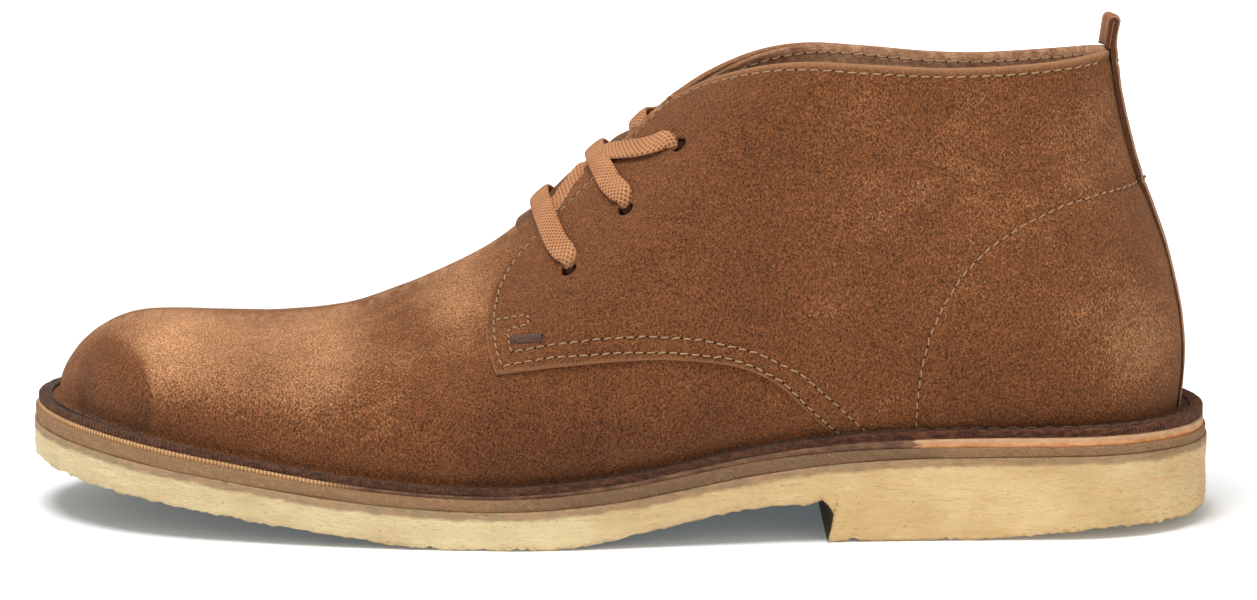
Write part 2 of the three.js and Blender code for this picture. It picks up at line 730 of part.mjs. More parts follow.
// Strip over the back seam, folded to a loop that comes down on the collar.
function backStrap() {
  const outside = QUARTER_THICK + STRAP.under + STRAP.thick / 2;
  const collar = collarZ(COLLAR_BACK_X);
  const lean = (z) => STRAP.lean * ease((z - collar) / (STRAP.loopTop - collar));
  const outerPly = (z) => ({ x: backX(z) + outside + lean(z), z });
  const foldZ = STRAP.loopTop - STRAP.thick / 2 - STRAP.loopHalf;
  const foldX = outerPly(foldZ).x - STRAP.loopHalf;
  const along = [];
  for (let z = STRAP.foot; z < foldZ - 2; z += 8) along.push(outerPly(z));
  for (let k = 0; k <= 6; k += 1) {
    const angle = (Math.PI * k) / 6;
    const x = foldX + STRAP.loopHalf * Math.cos(angle);
    const z = foldZ + STRAP.loopHalf * Math.sin(angle);
    along.push({ x, z });
  }
  along.push({ x: foldX - STRAP.loopHalf - STRAP.lean / 2, z: collar + STRAP.under });
  const rows = along.map((place) => Array.from({ length: 5 }, (_, j) => {
    const across = lerp(-STRAP.half, STRAP.half, j / 4);
    const y = middleY(place.x, place.z) + across;
    return new THREE.Vector3(place.x - across ** 2 / (2 * STRAP.round), y, place.z);
  }));
  return new Sheet().grid(rows, true).thicken(STRAP.thick / 2, -STRAP.thick / 2);
}

// ---------------------------------------------------------------- laces

// Flat strip through a row of points, lying along the given outward directions.
function ribbon(path) {
  const rows = path.map(({ point, normal }, i) => {
    const before = path[Math.max(i - 1, 0)].point;
    const after = path[Math.min(i + 1, path.length - 1)].point;
    const across = after.clone().sub(before).cross(normal).normalize().multiplyScalar(LACE.wide / 2);
    return [point.clone().add(across), point.clone(), point.clone().sub(across)];
  });
  return new Sheet().grid(rows).thicken(LACE.thick / 2, -LACE.thick / 2);
}

// Lace on the quarter from a hole to the top middle line, which it reaches lower by a drop.
function onQuarter(hole, ridgeX, side, drop = 0) {
  const steps = 6;
  const height = QUARTER_THICK + LACE.lift + LACE.thick / 2;
  return Array.from({ length: steps + 1 }, (_, k) => {
    const share = 1 - (1 - k / steps) ** 2;
    const x = lerp(hole.x, ridgeX, share);
    const z = lerp(hole.z, ridgeZ(ridgeX), share);
    const normal = k === steps ? ridgeNormal(ridgeX) : skinNormal(x, z, side);
    const point = skinPoint(x, z, side).addScaledVector(normal, height - drop * ease(6 * share - 5));
    return { point, normal };
  });
}

function laceBar(hole, ridgeX) {
  const innerHalf = onQuarter(hole, ridgeX, INNER).reverse().slice(1);
  return ribbon([...onQuarter(hole, ridgeX, OUTER), ...innerHalf]);
}

// The upper bar with the runs that leave from under it to the top holes.
function laceBarWithRuns(hole, ridgeX, topHole) {
  const outerRun = ribbon(onQuarter(topHole, LACE_ON_RIDGE.outerRun, OUTER, LACE.underBar));
  const innerRun = ribbon(onQuarter(topHole, LACE_ON_RIDGE.innerRun, INNER, LACE.underBar));
  return laceBar(hole, ridgeX).add(outerRun).add(innerRun);
}

// ---------------------------------------------------------------- the boot

const boot = new THREE.Group();
boot.add(node('outsole', outsole(), COLOURS.crepe, 0.8));
boot.add(node('midsole', midsole(), COLOURS.board, 0.85));
boot.add(node('welt', welt(), COLOURS.welt, 0.7));
boot.add(node('insole', insole(), COLOURS.insole, 0.8));
boot.add(node('upper', upper(), COLOURS.suede, 0.95));
boot.add(node('tongue', tongue(), COLOURS.tongue, 0.95));
boot.add(node('back_strap', backStrap(), COLOURS.strap, 0.9));
boot.add(node('lace_low', laceBar(LACE_HOLES[0], LACE_ON_RIDGE.low), COLOURS.lace, 0.9));
const laceHigh = laceBarWithRuns(LACE_HOLES[1], LACE_ON_RIDGE.mid, LACE_HOLES[2]);
boot.add(node('lace_high', laceHigh, COLOURS.lace, 0.9));

export default boot;
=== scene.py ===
"""A low desert boot for the left foot: suede upper, flat laces and a thick crepe sole.

The shape is worked out in millimetres, with the toe towards -X, the outer side towards -Y and the
floor at z = 0. Each mesh is scaled to metres when it is made.
"""

import itertools
import math

import bmesh
import bpy
import numpy as np
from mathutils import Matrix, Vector


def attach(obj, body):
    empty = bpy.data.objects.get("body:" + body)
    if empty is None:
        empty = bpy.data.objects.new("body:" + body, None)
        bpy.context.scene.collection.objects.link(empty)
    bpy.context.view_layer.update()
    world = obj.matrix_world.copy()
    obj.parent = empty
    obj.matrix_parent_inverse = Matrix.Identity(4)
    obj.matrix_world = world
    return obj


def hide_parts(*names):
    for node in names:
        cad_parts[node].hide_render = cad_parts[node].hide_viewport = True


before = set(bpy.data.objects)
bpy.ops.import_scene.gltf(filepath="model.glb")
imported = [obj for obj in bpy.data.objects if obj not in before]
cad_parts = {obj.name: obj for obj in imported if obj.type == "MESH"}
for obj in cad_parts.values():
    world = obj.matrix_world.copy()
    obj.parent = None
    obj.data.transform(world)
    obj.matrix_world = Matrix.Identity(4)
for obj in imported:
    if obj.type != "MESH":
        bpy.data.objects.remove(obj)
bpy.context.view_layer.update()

# ------------------------------------------------------------------ sizes of the boot, as in the CAD part

HALF_LENGTH = 150.0
GAP = 0.3
OUTER = -1.0
INNER = 1.0
FLANGE_THICK = 1.8
TOE_X = -143.4
HEEL_X = 140.4
THROAT_TOP_X = 12.5
COLLAR_BACK_X = 122.9


def columns(names, *rows):
    """Named columns of a short table."""
    return {name: np.array([row[i] for row in rows], float) for i, name in enumerate(names.split())}


OUTLINE = columns(
    "x half swing",
    (-150, 41.0, 7.4), (-120, 45.0, 5.9), (-75, 52.0, 2.6), (-42, 54.0, 0.0), (-15, 51.5, -3.0),
    (15, 45.0, -5.2), (45, 40.5, -5.2), (75, 39.0, -4.2), (114, 39.5, -3.0), (150, 39.0, -2.6),
)
LAYERS = columns(
    "x crepe midsole welt",
    (-150, 23.2, 26.6, 27.9), (-129.5, 20.1, 23.4, 24.7), (-103, 16.2, 19.4, 20.6),
    (-66, 11.4, 14.3, 15.3), (-31, 9.5, 12.3, 13.2), (0, 11.6, 14.6, 15.7), (34, 17.3, 20.4, 21.8),
    (60, 20.0, 22.6, 24.5), (93, 20.8, 23.0, 25.3), (150, 20.8, 23.0, 25.3),
)
FEATHER = columns(
    "x half belly_out belly_in",
    (-143, 36.5, 2.6, 2.6), (-120, 39.5, 3.4, 3.2), (-75, 46.8, 4.6, 3.6), (-42, 49.0, 5.2, 3.6),
    (-15, 46.2, 5.6, 2.6), (15, 39.6, 5.6, 2.0), (45, 34.8, 5.0, 2.6), (75, 32.6, 3.6, 3.0),
    (140, 32.4, 2.2, 2.2),
)
RIDGE = columns(
    "x z offset power reach",
    (-143, 48.6, 7.4, 2.15, 50), (-115, 48.8, 6.6, 2.15, 50), (-90, 48.5, 6.0, 2.1, 50),
    (-70, 50.8, 5.6, 2.0, 48), (-50, 58.4, 5.2, 1.9, 47), (-30, 69.4, 4.8, 1.85, 46),
    (-12, 84.6, 4.4, 1.9, 40), (4, 97.9, 3.6, 2.0, 33), (20, 111.4, 2.6, 2.05, 26),
    (40, 127.0, 1.4, 2.1, 24), (80, 150.0, 0.4, 2.1, 24), (140, 160.0, -0.6, 2.1, 24),
)
LEG = columns("x half", (-60, 30.0), (30, 27.8), (60, 26.8), (90, 21.6), (125, 19.0))
BACK = columns(
    "z x reach",
    (20, 139.6, 43), (30, 141.0, 43), (40, 141.7, 42), (50, 141.0, 41), (60, 139.0, 40),
    (70, 136.3, 38), (80, 132.6, 36), (90, 129.1, 34), (100, 126.3, 31), (110, 124.3, 28),
    (122, 122.8, 26),
)
COLLAR = columns(
    "x z inner_drop",
    (10, 102.2, 1.6), (16, 106.6, 1.7), (24, 111.2, 1.4), (36, 115.2, 0.7), (48, 116.8, 0.3),
    (62, 116.4, 0.3), (80, 115.3, 0.4), (95, 115.6, 0.7), (110, 116.7, 0.5), (124, 118.4, 0.0),
)
RIBS = columns(
    "foot top",
    (-143.4, -138.2), (-128, -126), (-100, -99), (-50, -54), (0, -26), (45, 12.5), (95, 66),
    (140.4, 122.9),
)

TREAD = {
    "spring_from": -42, "spring_rise": 14.2, "spring_power": 1.15,
    "arch_from": -20, "arch_to": 42, "arch_rise": 9.5,
    "heel_from": 84, "heel_to": 128, "heel_rise": 2.8,
}
BREAST_X = 52.6
WALL = 1.5
QUARTER_THICK = 1.1
WELT_EDGE_INSET = 0.9
MIDSOLE_INSET = 0.35
FLANGE_EDGE_INSET = 1.1
INSOLE_THICK = 2.6
RIM_DROP = 0.3

# Quarter edges in the side view: bottom edge backwards, then front edge upwards.
QUARTER_BOTTOM = columns(
    "x z",
    (-29.9, 42.7), (-22.0, 43.9), (-15.5, 44.8), (0.7, 46.1), (13.6, 46.2), (26.4, 44.9),
    (32.8, 43.0), (39.3, 39.4), (46.2, 32.9), (54.2, 25.2), (62.0, 18.0),
)
QUARTER_FRONT = columns(
    "x z",
    (-29.9, 42.7), (-31.9, 48.0), (-32.4, 53.0), (-31.7, 57.4), (-30.2, 60.8), (-27.4, 65.0),
)
# Throat edges: distance from the top middle line to each quarter's edge.
THROAT = columns(
    "x outer inner",
    (-24.5, 19.0, 17.5), (-19, 17.0, 14.5), (-12, 15.0, 12.0), (-4, 12.5, 11.0), (4, 9.5, 11.8),
    (12.5, 7.0, 11.2),
)
LACE_HOLES = columns("x z", (-11.9, 66.0), (2.1, 80.4), (15.4, 95.8))


# ------------------------------------------------------------------ shape of the last


def read(table, key, column, place):
    """Smooth reading of one column of a table at places along its key column."""
    k, v = table[key], table[column]
    place = np.clip(np.asarray(place, float), k[0], k[-1])
    i = np.clip(np.searchsorted(k, place, side="right") - 1, 0, len(k) - 2)
    slopes = np.empty(len(k))
    slopes[1:-1] = (v[2:] - v[:-2]) / (k[2:] - k[:-2])
    slopes[0] = (v[1] - v[0]) / (k[1] - k[0])
    slopes[-1] = (v[-1] - v[-2]) / (k[-1] - k[-2])
    span = k[i + 1] - k[i]
    t = (place - k[i]) / span
    bend = slopes[i] * t * (1 - t) ** 2 - slopes[i + 1] * t * t * (1 - t)
    return v[i] + (v[i + 1] - v[i]) * t * t * (3 - 2 * t) + bend * span


def lerp(a, b, t):
    return a + (b - a) * t


def ease(t):
    t = np.clip(t, 0, 1)
    return t * t * (3 - 2 * t)


def both_ends(t):
    return (1 - np.cos(np.pi * t)) / 2


def cap(distance, reach, power):
    t = np.clip(distance / reach, 0, 1)
    return (1 - (1 - t) ** power) ** (1 / power)


def swing(x):
    return read(OUTLINE, "x", "swing", x)


def sole_half(x, inset):
    toe = cap(x + HALF_LENGTH - inset, 46, 2.15)
    heel = cap(HALF_LENGTH - inset - x, 42, 2.1)
    return (read(OUTLINE, "x", "half", x) - inset) * toe * heel


def feather_z(x):
    return read(LAYERS, "x", "welt", x) + GAP + FLANGE_THICK


def back_x(z):
    return read(BACK, "z", "x", z)


def collar_z(x, side=OUTER):
    fade = ease((COLLAR_BACK_X - x) / 8)
    drop = read(COLLAR, "x", "inner_drop", x) * fade * (np.asarray(side) > 0)
    return read(COLLAR, "x", "z", x) - drop


def ridge_z(x):
    foot = feather_z(x)
    return foot + (read(RIDGE, "x", "z", x) - foot) * cap(x - TOE_X, 23, 2.05)


def belly_height(x):
    return np.minimum(15, 0.42 * (ridge_z(x) - feather_z(x)))


def side_width(x, z, side):
    rise = z - feather_z(x)
    tuck = 1 - (1 - np.clip(rise / np.maximum(belly_height(x), 1), 0, 1)) ** 2.4
    belly = np.where(np.asarray(side) < 0, read(FEATHER, "x", "belly_out", x), read(FEATHER, "x", "belly_in", x))
    low = read(FEATHER, "x", "half", x) + belly * tuck
    return lerp(low, read(LEG, "x", "half", x), ease((rise - 15) / (96 - 15)))


def half_width(x, z, side):
    room = np.maximum(ridge_z(x) - feather_z(x) - belly_height(x), 0.01)
    reach = (room ** -4 + read(RIDGE, "x", "reach", x) ** -4) ** -0.25
    crown = cap(ridge_z(x) - z, reach, read(RIDGE, "x", "power", x))
    back = cap(back_x(z) - x, read(BACK, "z", "reach", z), 2.1)
    return side_width(x, z, side) * crown * back * cap(x - TOE_X, 42, 2.2)


def middle_y(x, z):
    foot = feather_z(x)
    share = ease((z - foot) / np.maximum(read(RIDGE, "x", "z", x) - foot, 1))
    return lerp(swing(x), read(RIDGE, "x", "offset", x), share)


def skin(x, z, side):
    """Points of the last's skin over places of the side view."""
    x, z, side = np.broadcast_arrays(np.asarray(x, float), np.asarray(z, float), np.asarray(side, float))
    return np.stack([x, middle_y(x, z) + side * half_width(x, z, side), z], -1)


def unit(v):
    return v / np.maximum(np.linalg.norm(v, axis=-1, keepdims=True), 1e-12)


def skin_normal(x, z, side, step=0.2):
    along_x = skin(x + step, z, side) - skin(x - step, z, side)
    along_z = skin(x, z + step, side) - skin(x, z - step, side)
    return unit(np.cross(along_x, along_z) * -np.asarray(side, float)[..., None])


def ridge_normal(x):
    step = 0.5
    slope = (ridge_z(x + step) - ridge_z(x - step)) / (2 * step)
    return unit(np.stack([-slope, 0 * slope, 1 + 0 * slope], -1))


def beside_ridge(x, across):
    """Points of the skin beside the top middle line, given distances out to one side."""
    x, across = np.broadcast_arrays(np.asarray(x, float), np.asarray(across, float))
    up = ridge_normal(x)
    side = np.where(across < 0, OUTER, INNER)
    top = ridge_z(x)
    shallow = np.zeros(x.shape)
    deep = np.full(x.shape, 45.0)
    for _ in range(40):
        middle = (shallow + deep) / 2
        wide = half_width(x - up[..., 0] * middle, top - up[..., 2] * middle, side)
        less = wide < np.abs(across)
        shallow = np.where(less, middle, shallow)
        deep = np.where(less, deep, middle)
    px = x - up[..., 0] * deep
    pz = top - up[..., 2] * deep
    return np.stack([px, middle_y(px, pz) + across, pz], -1)


# ------------------------------------------------------------------ surfaces and meshes


def noise(points, size, seed=0.0):
    """Smooth random numbers from -1 to 1 over space, with grains of a size in millimetres."""
    place = np.asarray(points, float) / size + seed * 17.31
    cell = np.floor(place)
    share = place - cell
    share = share * share * (3 - 2 * share)
    total = np.zeros(place.shape[:-1])
    for corner in itertools.product((0.0, 1.0), repeat=3):
        at = cell + corner
        mixed = np.sin(at[..., 0] * 127.1 + at[..., 1] * 311.7 + at[..., 2] * 74.7) * 43758.5453
        value = (mixed - np.floor(mixed)) * 2 - 1
        weight = np.prod(np.where(corner, share, 1 - share), axis=-1)
        total = total + weight * value
    return total


def quads_of(ids):
    """Faces between neighbouring rows of point numbers."""
    return np.stack([ids[:-1, :-1], ids[1:, :-1], ids[1:, 1:], ids[:-1, 1:]], -1).reshape(-1, 4)


def normals_of(points, quads):
    """Directions out of a surface at its points; points at the same place share one."""
    keys = np.round(points / 1e-3).astype(np.int64)
    _, same = np.unique(keys, axis=0, return_inverse=True)
    same = same.reshape(-1)
    corner = [points[quads[:, k]] for k in range(4)]
    area = np.cross(corner[2] - corner[0], corner[3] - corner[1])
    total = np.zeros((same.max() + 1, 3))
    for k in range(4):
        np.add.at(total, same[quads[:, k]], area)
    return unit(total)[same]


def grid_normals(grid, closed=False, flip=False):
    """Directions out of one grid of points, whose rows may close on themselves."""
    rows, cols = grid.shape[:2]
    ids = np.arange(rows * cols).reshape(rows, cols)
    if closed:
        ids = np.hstack([ids, ids[:, :1]])
    normals = normals_of(grid.reshape(-1, 3), quads_of(ids)).reshape(grid.shape)
    return -normals if flip else normals


class Sheet:
    """Points and faces gathered from grids, with named numbers for each point."""

    def __init__(self, *names):
        self.points = []
        self.faces = []
        self.slots = []
        self.values = {name: [] for name in names}
        self.count = 0

    def grid(self, grid, closed=False, around=False, flip=False, slot=0, **values):
        """Adds a grid whose rows may close on themselves and whose last row may meet its first."""
        rows, cols = grid.shape[:2]
        ids = np.arange(rows * cols).reshape(rows, cols)
        if closed:
            ids = np.hstack([ids, ids[:, :1]])
        if around:
            ids = np.vstack([ids, ids[:1]])
        quads = quads_of(ids)
        self.add(grid.reshape(-1, 3), quads[:, ::-1] if flip else quads, slot, grid.shape[:2], **values)
        return self

    def add(self, points, faces, slot=0, shape=None, **values):
        self.points.append(points)
        self.faces.append(faces + self.count)
        self.slots.append(np.full(len(faces), slot) if np.isscalar(slot) else slot)
        shape = shape or (len(points),)
        for name, gathered in self.values.items():
            gathered.append(np.broadcast_to(values.get(name, 0.0), shape).reshape(-1))
        self.count += len(points)


def add_piece(name, sheet, materials, nodes=(), weld=0.001):
    """Makes one piece from a sheet in millimetres, in place of its CAD nodes."""
    points = np.concatenate(sheet.points) * 0.001
    faces = np.concatenate(sheet.faces)
    mesh = bpy.data.meshes.new(name)
    mesh.from_pydata(points.tolist(), [], faces.tolist())
    for key, gathered in sheet.values.items():
        attribute = mesh.attributes.new(key, "FLOAT", "POINT")
        attribute.data.foreach_set("value", np.concatenate(gathered).astype(np.float32))
    for material in materials:
        mesh.materials.append(material)
    mesh.polygons.foreach_set("material_index", np.concatenate(sheet.slots).astype(np.int32))
    if weld:
        work = bmesh.new()
        work.from_mesh(mesh)
        bmesh.ops.remove_doubles(work, verts=work.verts, dist=weld * 0.001)
        bmesh.ops.recalc_face_normals(work, faces=work.faces)
        work.to_mesh(mesh)
        work.free()
    mesh.polygons.foreach_set("use_smooth", np.ones(len(mesh.polygons), bool))
    mesh.update()
    piece = bpy.data.objects.new(name, mesh)
    bpy.context.scene.collection.objects.link(piece)
    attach(piece, "root")
    if nodes:
        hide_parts(*nodes)
    return piece


def cut(piece, cutter):
    """Takes a closed cutter out of a piece, and removes the cutter."""
    change = piece.modifiers.new("cut", "BOOLEAN")
    change.operation = "DIFFERENCE"
    change.object = cutter
    change.solver = "MANIFOLD"
    with bpy.context.temp_override(object=piece, active_object=piece, selected_objects=[piece]):
        bpy.ops.object.modifier_apply(modifier=change.name)
    mesh = cutter.data
    bpy.data.objects.remove(cutter)
    bpy.data.meshes.remove(mesh)


def along_rows(points):
    """Distance run along a path at each of its points."""
    steps = np.linalg.norm(np.diff(points, axis=0), axis=-1)
    return np.concatenate([[0.0], np.cumsum(steps)])


def resample(points, pitch):
    """Points spaced evenly along a path."""
    run = along_rows(points)
    count = max(int(round(run[-1] / pitch)), 1)
    places = np.linspace(0, run[-1], count + 1)
    return np.stack([np.interp(places, run, points[:, k]) for k in range(points.shape[1])], -1)


def catmull(points, count):
    """Smooth curve through points, sampled evenly along its length."""
    points = np.asarray(points, float)
    last = len(points) - 1
    t = np.linspace(0, last, 1200)
    i = np.minimum(np.floor(t).astype(int), last - 1)
    w = (t - i)[:, None]
    p0, p1 = points[np.maximum(i - 1, 0)], points[i]
    p2, p3 = points[i + 1], points[np.minimum(i + 2, last)]
    s1, s2 = (p2 - p0) / 2, (p3 - p1) / 2
    curve = (2 * p1 - 2 * p2 + s1 + s2) * w**3 + (-3 * p1 + 3 * p2 - 2 * s1 - s2) * w**2 + s1 * w + p1
    run = along_rows(curve)
    places = np.linspace(0, run[-1], count) if np.isscalar(count) else np.asarray(count) * run[-1]
    return np.stack([np.interp(places, run, curve[:, k]) for k in range(points.shape[1])], -1)


def spots(places, rows):
    """Sum of soft spots over side view places; a row gives x, z, radius and strength."""
    total = np.zeros(places.shape[:-1])
    for x, z, radius, strength in rows:
        away = ((places[..., 0] - x) ** 2 + (places[..., 2] - z) ** 2) / radius**2
        total = total + strength * np.exp(-away)
    return total


def near_line(places, line):
    """Distance in the side view from places to a line of points, and the share of its length run."""
    line = np.asarray(line, float)
    run = along_rows(line)
    best = np.full(places.shape[:-1], 1e9)
    share = np.zeros(places.shape[:-1])
    flat = places[..., [0, 2]]
    for a, b, start, end in zip(line[:-1], line[1:], run[:-1], run[1:]):
        t = np.clip(((flat - a) @ (b - a)) / max(end - start, 1e-6) ** 2, 0, 1)
        away = np.linalg.norm(flat - a - t[..., None] * (b - a), axis=-1)
        share = np.where(away < best, (start + t * (end - start)) / run[-1], share)
        best = np.minimum(best, away)
    return best, share


# ------------------------------------------------------------------ sole


def tread_z(x):
    spring = np.clip((TREAD["spring_from"] - x) / (TREAD["spring_from"] + HALF_LENGTH), 0, 1)
    arch = ease((x - TREAD["arch_from"]) / (TREAD["arch_to"] - TREAD["arch_from"]))
    return TREAD["spring_rise"] * spring ** TREAD["spring_power"] + TREAD["arch_rise"] * arch


def heel_tread_z(x):
    return TREAD["heel_rise"] * ease((x - TREAD["heel_from"]) / (TREAD["heel_to"] - TREAD["heel_from"]))


def ring_places(inset, steps):
    """Places and sides of a loop round the sole: outer side to the heel, inner side back."""
    share = np.concatenate([np.arange(steps + 1), np.arange(steps - 1, 0, -1)]) / steps
    side = np.where(np.arange(2 * steps) <= steps, OUTER, INNER)
    tip = HALF_LENGTH - inset
    return lerp(-tip, tip, both_ends(share)), side


def sole_loop(inset, height, steps):
    x, side = ring_places(inset, steps)
    return np.stack([x, swing(x) + side * sole_half(x, inset), height(x)], -1)


def layer_top(name, rise=0.0):
    return lambda x: read(LAYERS, "x", name, x) + rise


def breast_sections():
    """Heel's front face: place of the side above it, and place and height of its foot."""
    share = np.linspace(0, 1, 15)
    hollow = 2.6 * np.sin(np.pi * share**0.85) ** 0.8
    foot_x = lerp(BREAST_X - 2.3, BREAST_X - 1.0, share) + hollow
    foot_z = TREAD["arch_rise"] * (1 - share) + 1.0 * (1 - share) ** 5
    return lerp(BREAST_X - 2.3, BREAST_X + 3.0, share), foot_x, foot_z


def crepe_sections():
    """Places of the side's top edge, and of the foot under it, from toe to heel."""
    x = lerp(-HALF_LENGTH, HALF_LENGTH, both_ends(np.linspace(0, 1, 560)))
    front = x[x < BREAST_X - 2.8]
    heel = x[x > BREAST_X + 8.2]
    bx, foot_x, foot_z = breast_sections()
    lip = 1.0 * ease((front - BREAST_X + 6.5) / 4)
    back = np.linspace(0, 1, 10)[1:]
    return (
        np.concatenate([front, bx, lerp(bx[-1], BREAST_X + 7.6, back), heel]),
        np.concatenate([front, foot_x, lerp(foot_x[-1], BREAST_X + 7.6, back), heel]),
        np.concatenate([tread_z(front) + lip, foot_z, 0 * back, heel_tread_z(heel)]),
    )


def crepe_outsole():
    x, foot_x, foot_z = crepe_sections()
    rows = 15
    sheet = Sheet("along", "rise", "foot", "depth", "under")
    sides = {}
    for side in (OUTER, INNER):
        top = np.stack([x, swing(x) + side * sole_half(x, 0), read(LAYERS, "x", "crepe", x)], -1)
        foot = np.stack([foot_x, swing(foot_x) + side * sole_half(foot_x, 0), foot_z], -1)
        share = np.linspace(0, 1, rows)[:, None]
        wall = lerp(foot[None], top[None], share[..., None])
        ahead = np.gradient(top, axis=0)
        level = unit(np.stack([-ahead[:, 1], ahead[:, 0], 0 * ahead[:, 0]], -1)) * side
        out = np.broadcast_to(level, wall.shape).copy()
        out[:, 0] = (-1, 0, 0)
        out[:, -1] = (1, 0, 0)
        # a hand-cut side: long waves, fine horizontal ripples and a ragged lower edge
        size = wall * (0.35, 0.35, 1.6)
        rough = 0.22 * noise(size, 2.6, 1) + 0.12 * noise(size, 0.9, 2) + 0.25 * noise(wall, 14, 3)
        edge = np.exp(-((wall[..., 2] - foot_z) / 0.9) ** 2)
        teeth = np.maximum(noise(wall, 1.1, 4), -0.2)
        inward = 0.7 * np.exp(-((wall[..., 2] - foot_z) / 0.7) ** 2)
        wall = wall + out * (rough - inward + 0.5 * edge * teeth)[..., None]
        notch = noise(wall, 1.2, 5) + 0.5 * noise(wall, 3.5, 8)
        wall[..., 2] += 0.4 * edge * np.where(foot_z > 0.4, notch, 3.0 * np.maximum(notch - 0.1, 0))
        wall[..., 2] = np.maximum(wall[..., 2], 0.0)
        sides[side] = wall
        run = along_rows(top)[None] + 0 * share
        high = wall[..., 2] - foot_z
        depth = read(LAYERS, "x", "crepe", wall[..., 0]) - wall[..., 2]
        sheet.grid(wall, flip=side == OUTER, along=run, rise=share + 0 * run, foot=high, depth=depth)
    # tread between the two sides, and the hidden top
    for row, flip in ((0, True), (-1, False)):
        across = np.linspace(0, 1, 34)[:, None, None]
        flat = lerp(sides[OUTER][row][None], sides[INNER][row][None], across)
        if row == 0:
            inside = 1 - np.abs(across[..., 0] * 2 - 1) ** 8
            grain = 0.16 * noise(flat, 1.7, 6) + 0.12 * noise(flat, 5.0, 7)
            flat[..., 2] += grain * inside * (flat[..., 2] > 0.4)
        covered = (np.abs(across[..., 0] * 2 - 1) < 0.99) * 1.0
        # under marks the tread, which the material darkens with painted shade ahead of the heel
        under = covered * (row == 0)
        sheet.grid(flat, flip=flip, foot=3.0 * covered * (row == -1), depth=15.0 * under, under=under)
    return sheet


def strip(inset, bottom, top, relief, steps=620, rows=9, depth=6.0):
    """Layer of the sole's edge: its visible side and a flat ring of some depth behind it."""
    low, high = sole_loop(inset, bottom, steps), sole_loop(inset, top, steps)
    shares = np.linspace(0, 1, rows)[:, None]
    side = lerp(low[None], high[None], shares[..., None])
    ahead = unit(np.roll(low, -1, 0) - np.roll(low, 1, 0))
    out = np.stack([ahead[:, 1], -ahead[:, 0], 0 * ahead[:, 0]], -1)
    side = side + out[None] * relief(side, shares)[..., None]
    run = along_rows(low)[None] + 0 * shares
    back_low = low - out * depth
    back_high = high - out * depth
    all_rows = np.concatenate([side, back_high[None], back_low[None]])
    run = np.concatenate([run, run[:1], run[:1]])
    rise = np.concatenate([shares + 0 * run[:rows], np.ones((1, len(low))), np.zeros((1, len(low)))])
    sheet = Sheet("along", "rise")
    sheet.grid(all_rows, closed=True, around=True, flip=False, along=run, rise=rise)
    return sheet


def rounded(share, depth=0.3, sharp=6):
    """Dip of a strip's side towards both of its edges."""
    return -depth * np.abs(2 * share - 1) ** sharp


def midsole_edge():
    def relief(side, share):
        return rounded(share, 0.1) + 0.1 * noise(side * (0.4, 0.4, 1), 1.6, 11) + 0.15 * noise(side, 9, 12)

    return strip(MIDSOLE_INSET, layer_top("crepe", 0.02), layer_top("midsole", 0.25), relief)


def welt_edge():
    def relief(side, share):
        return rounded(share, 0.3, 4) + 0.12 * noise(side, 4, 13)

    return strip(WELT_EDGE_INSET, layer_top("midsole", GAP - 0.25), layer_top("welt", 0.25), relief)


def insole_board():
    steps = 150
    x = lerp(TOE_X + 2.2, HEEL_X - 2.2, both_ends(np.linspace(0, 1, steps)))
    grown = lerp(TOE_X, HEEL_X, both_ends(np.linspace(0, 1, steps)))
    sheet = Sheet("along")
    half = {side: half_width(grown, feather_z(grown), side) * 0.955 for side in (OUTER, INNER)}
    base = read(LAYERS, "x", "midsole", x) + GAP
    across = np.linspace(-1, 1, 41)[:, None]
    half_at = np.where(across < 0, half[OUTER][None], half[INNER][None])
    y = swing(x)[None] + across * half_at
    for low, flip in ((True, True), (False, False)):
        edge = 0.8 * np.abs(across) ** 10
        z = base[None] + (0 * across if low else INSOLE_THICK - edge)
        grid = np.stack([np.broadcast_to(x, y.shape), y, np.broadcast_to(z, y.shape)], -1)
        if not low:
            grid[..., 2] += 0.12 * noise(grid, 7, 21) - 0.5 * spots(grid[..., [0, 2, 1]], FOOT_DENTS)
            top = grid
        else:
            bottom = grid
        sheet.grid(grid, flip=flip, along=x[None])
    for pick in (0, -1):
        edge = np.stack([bottom[pick], top[pick]])
        sheet.grid(edge, flip=pick == 0, along=x[None])
    heel_end = np.stack([bottom[:, -1], top[:, -1]])
    sheet.grid(heel_end, along=x[-1])
    return sheet


# dents that the foot has left in the insole: x, y, radius, depth
FOOT_DENTS = ((95, -2, 26, 1.0), (-58, -6, 24, 0.8), (-52, 16, 20, 0.8), (-112, 6, 14, 0.5))


# ------------------------------------------------------------------ upper

FILLET = 2.0
FILLET_STEPS = 6
WALL_STEPS = 64
UPPER_STEPS = 250
FLANGE_ROWS = 7
RIM_FROM = THROAT_TOP_X

# Soft creases and hollows of the vamp, outer side: line in the side view, width and depth.
VAMP_CREASES = (
    (((-50, 55), (-45, 47), (-42, 38), (-41, 29)), 3.0, 0.35),
    (((-64, 51), (-58, 43), (-55, 34)), 3.2, 0.30),
    (((-84, 47), (-79, 39), (-77, 30)), 3.4, 0.25),
    (((-37, 62), (-35, 54), (-35.5, 46)), 2.2, 0.30),
    (((-12, 40), (2, 38), (20, 34)), 3.0, 0.25),
)
INNER_CREASES = (
    (((-52, 54), (-48, 45), (-44, 34)), 3.0, 0.40),
    (((-68, 49), (-64, 41), (-62, 31)), 3.2, 0.35),
    (((-38, 60), (-36, 50), (-37, 40)), 2.4, 0.30),
    (((-10, 38), (4, 35), (18, 32)), 3.0, 0.30),
)


def wall_foot_z(x):
    return feather_z(x) - FLANGE_THICK / 2


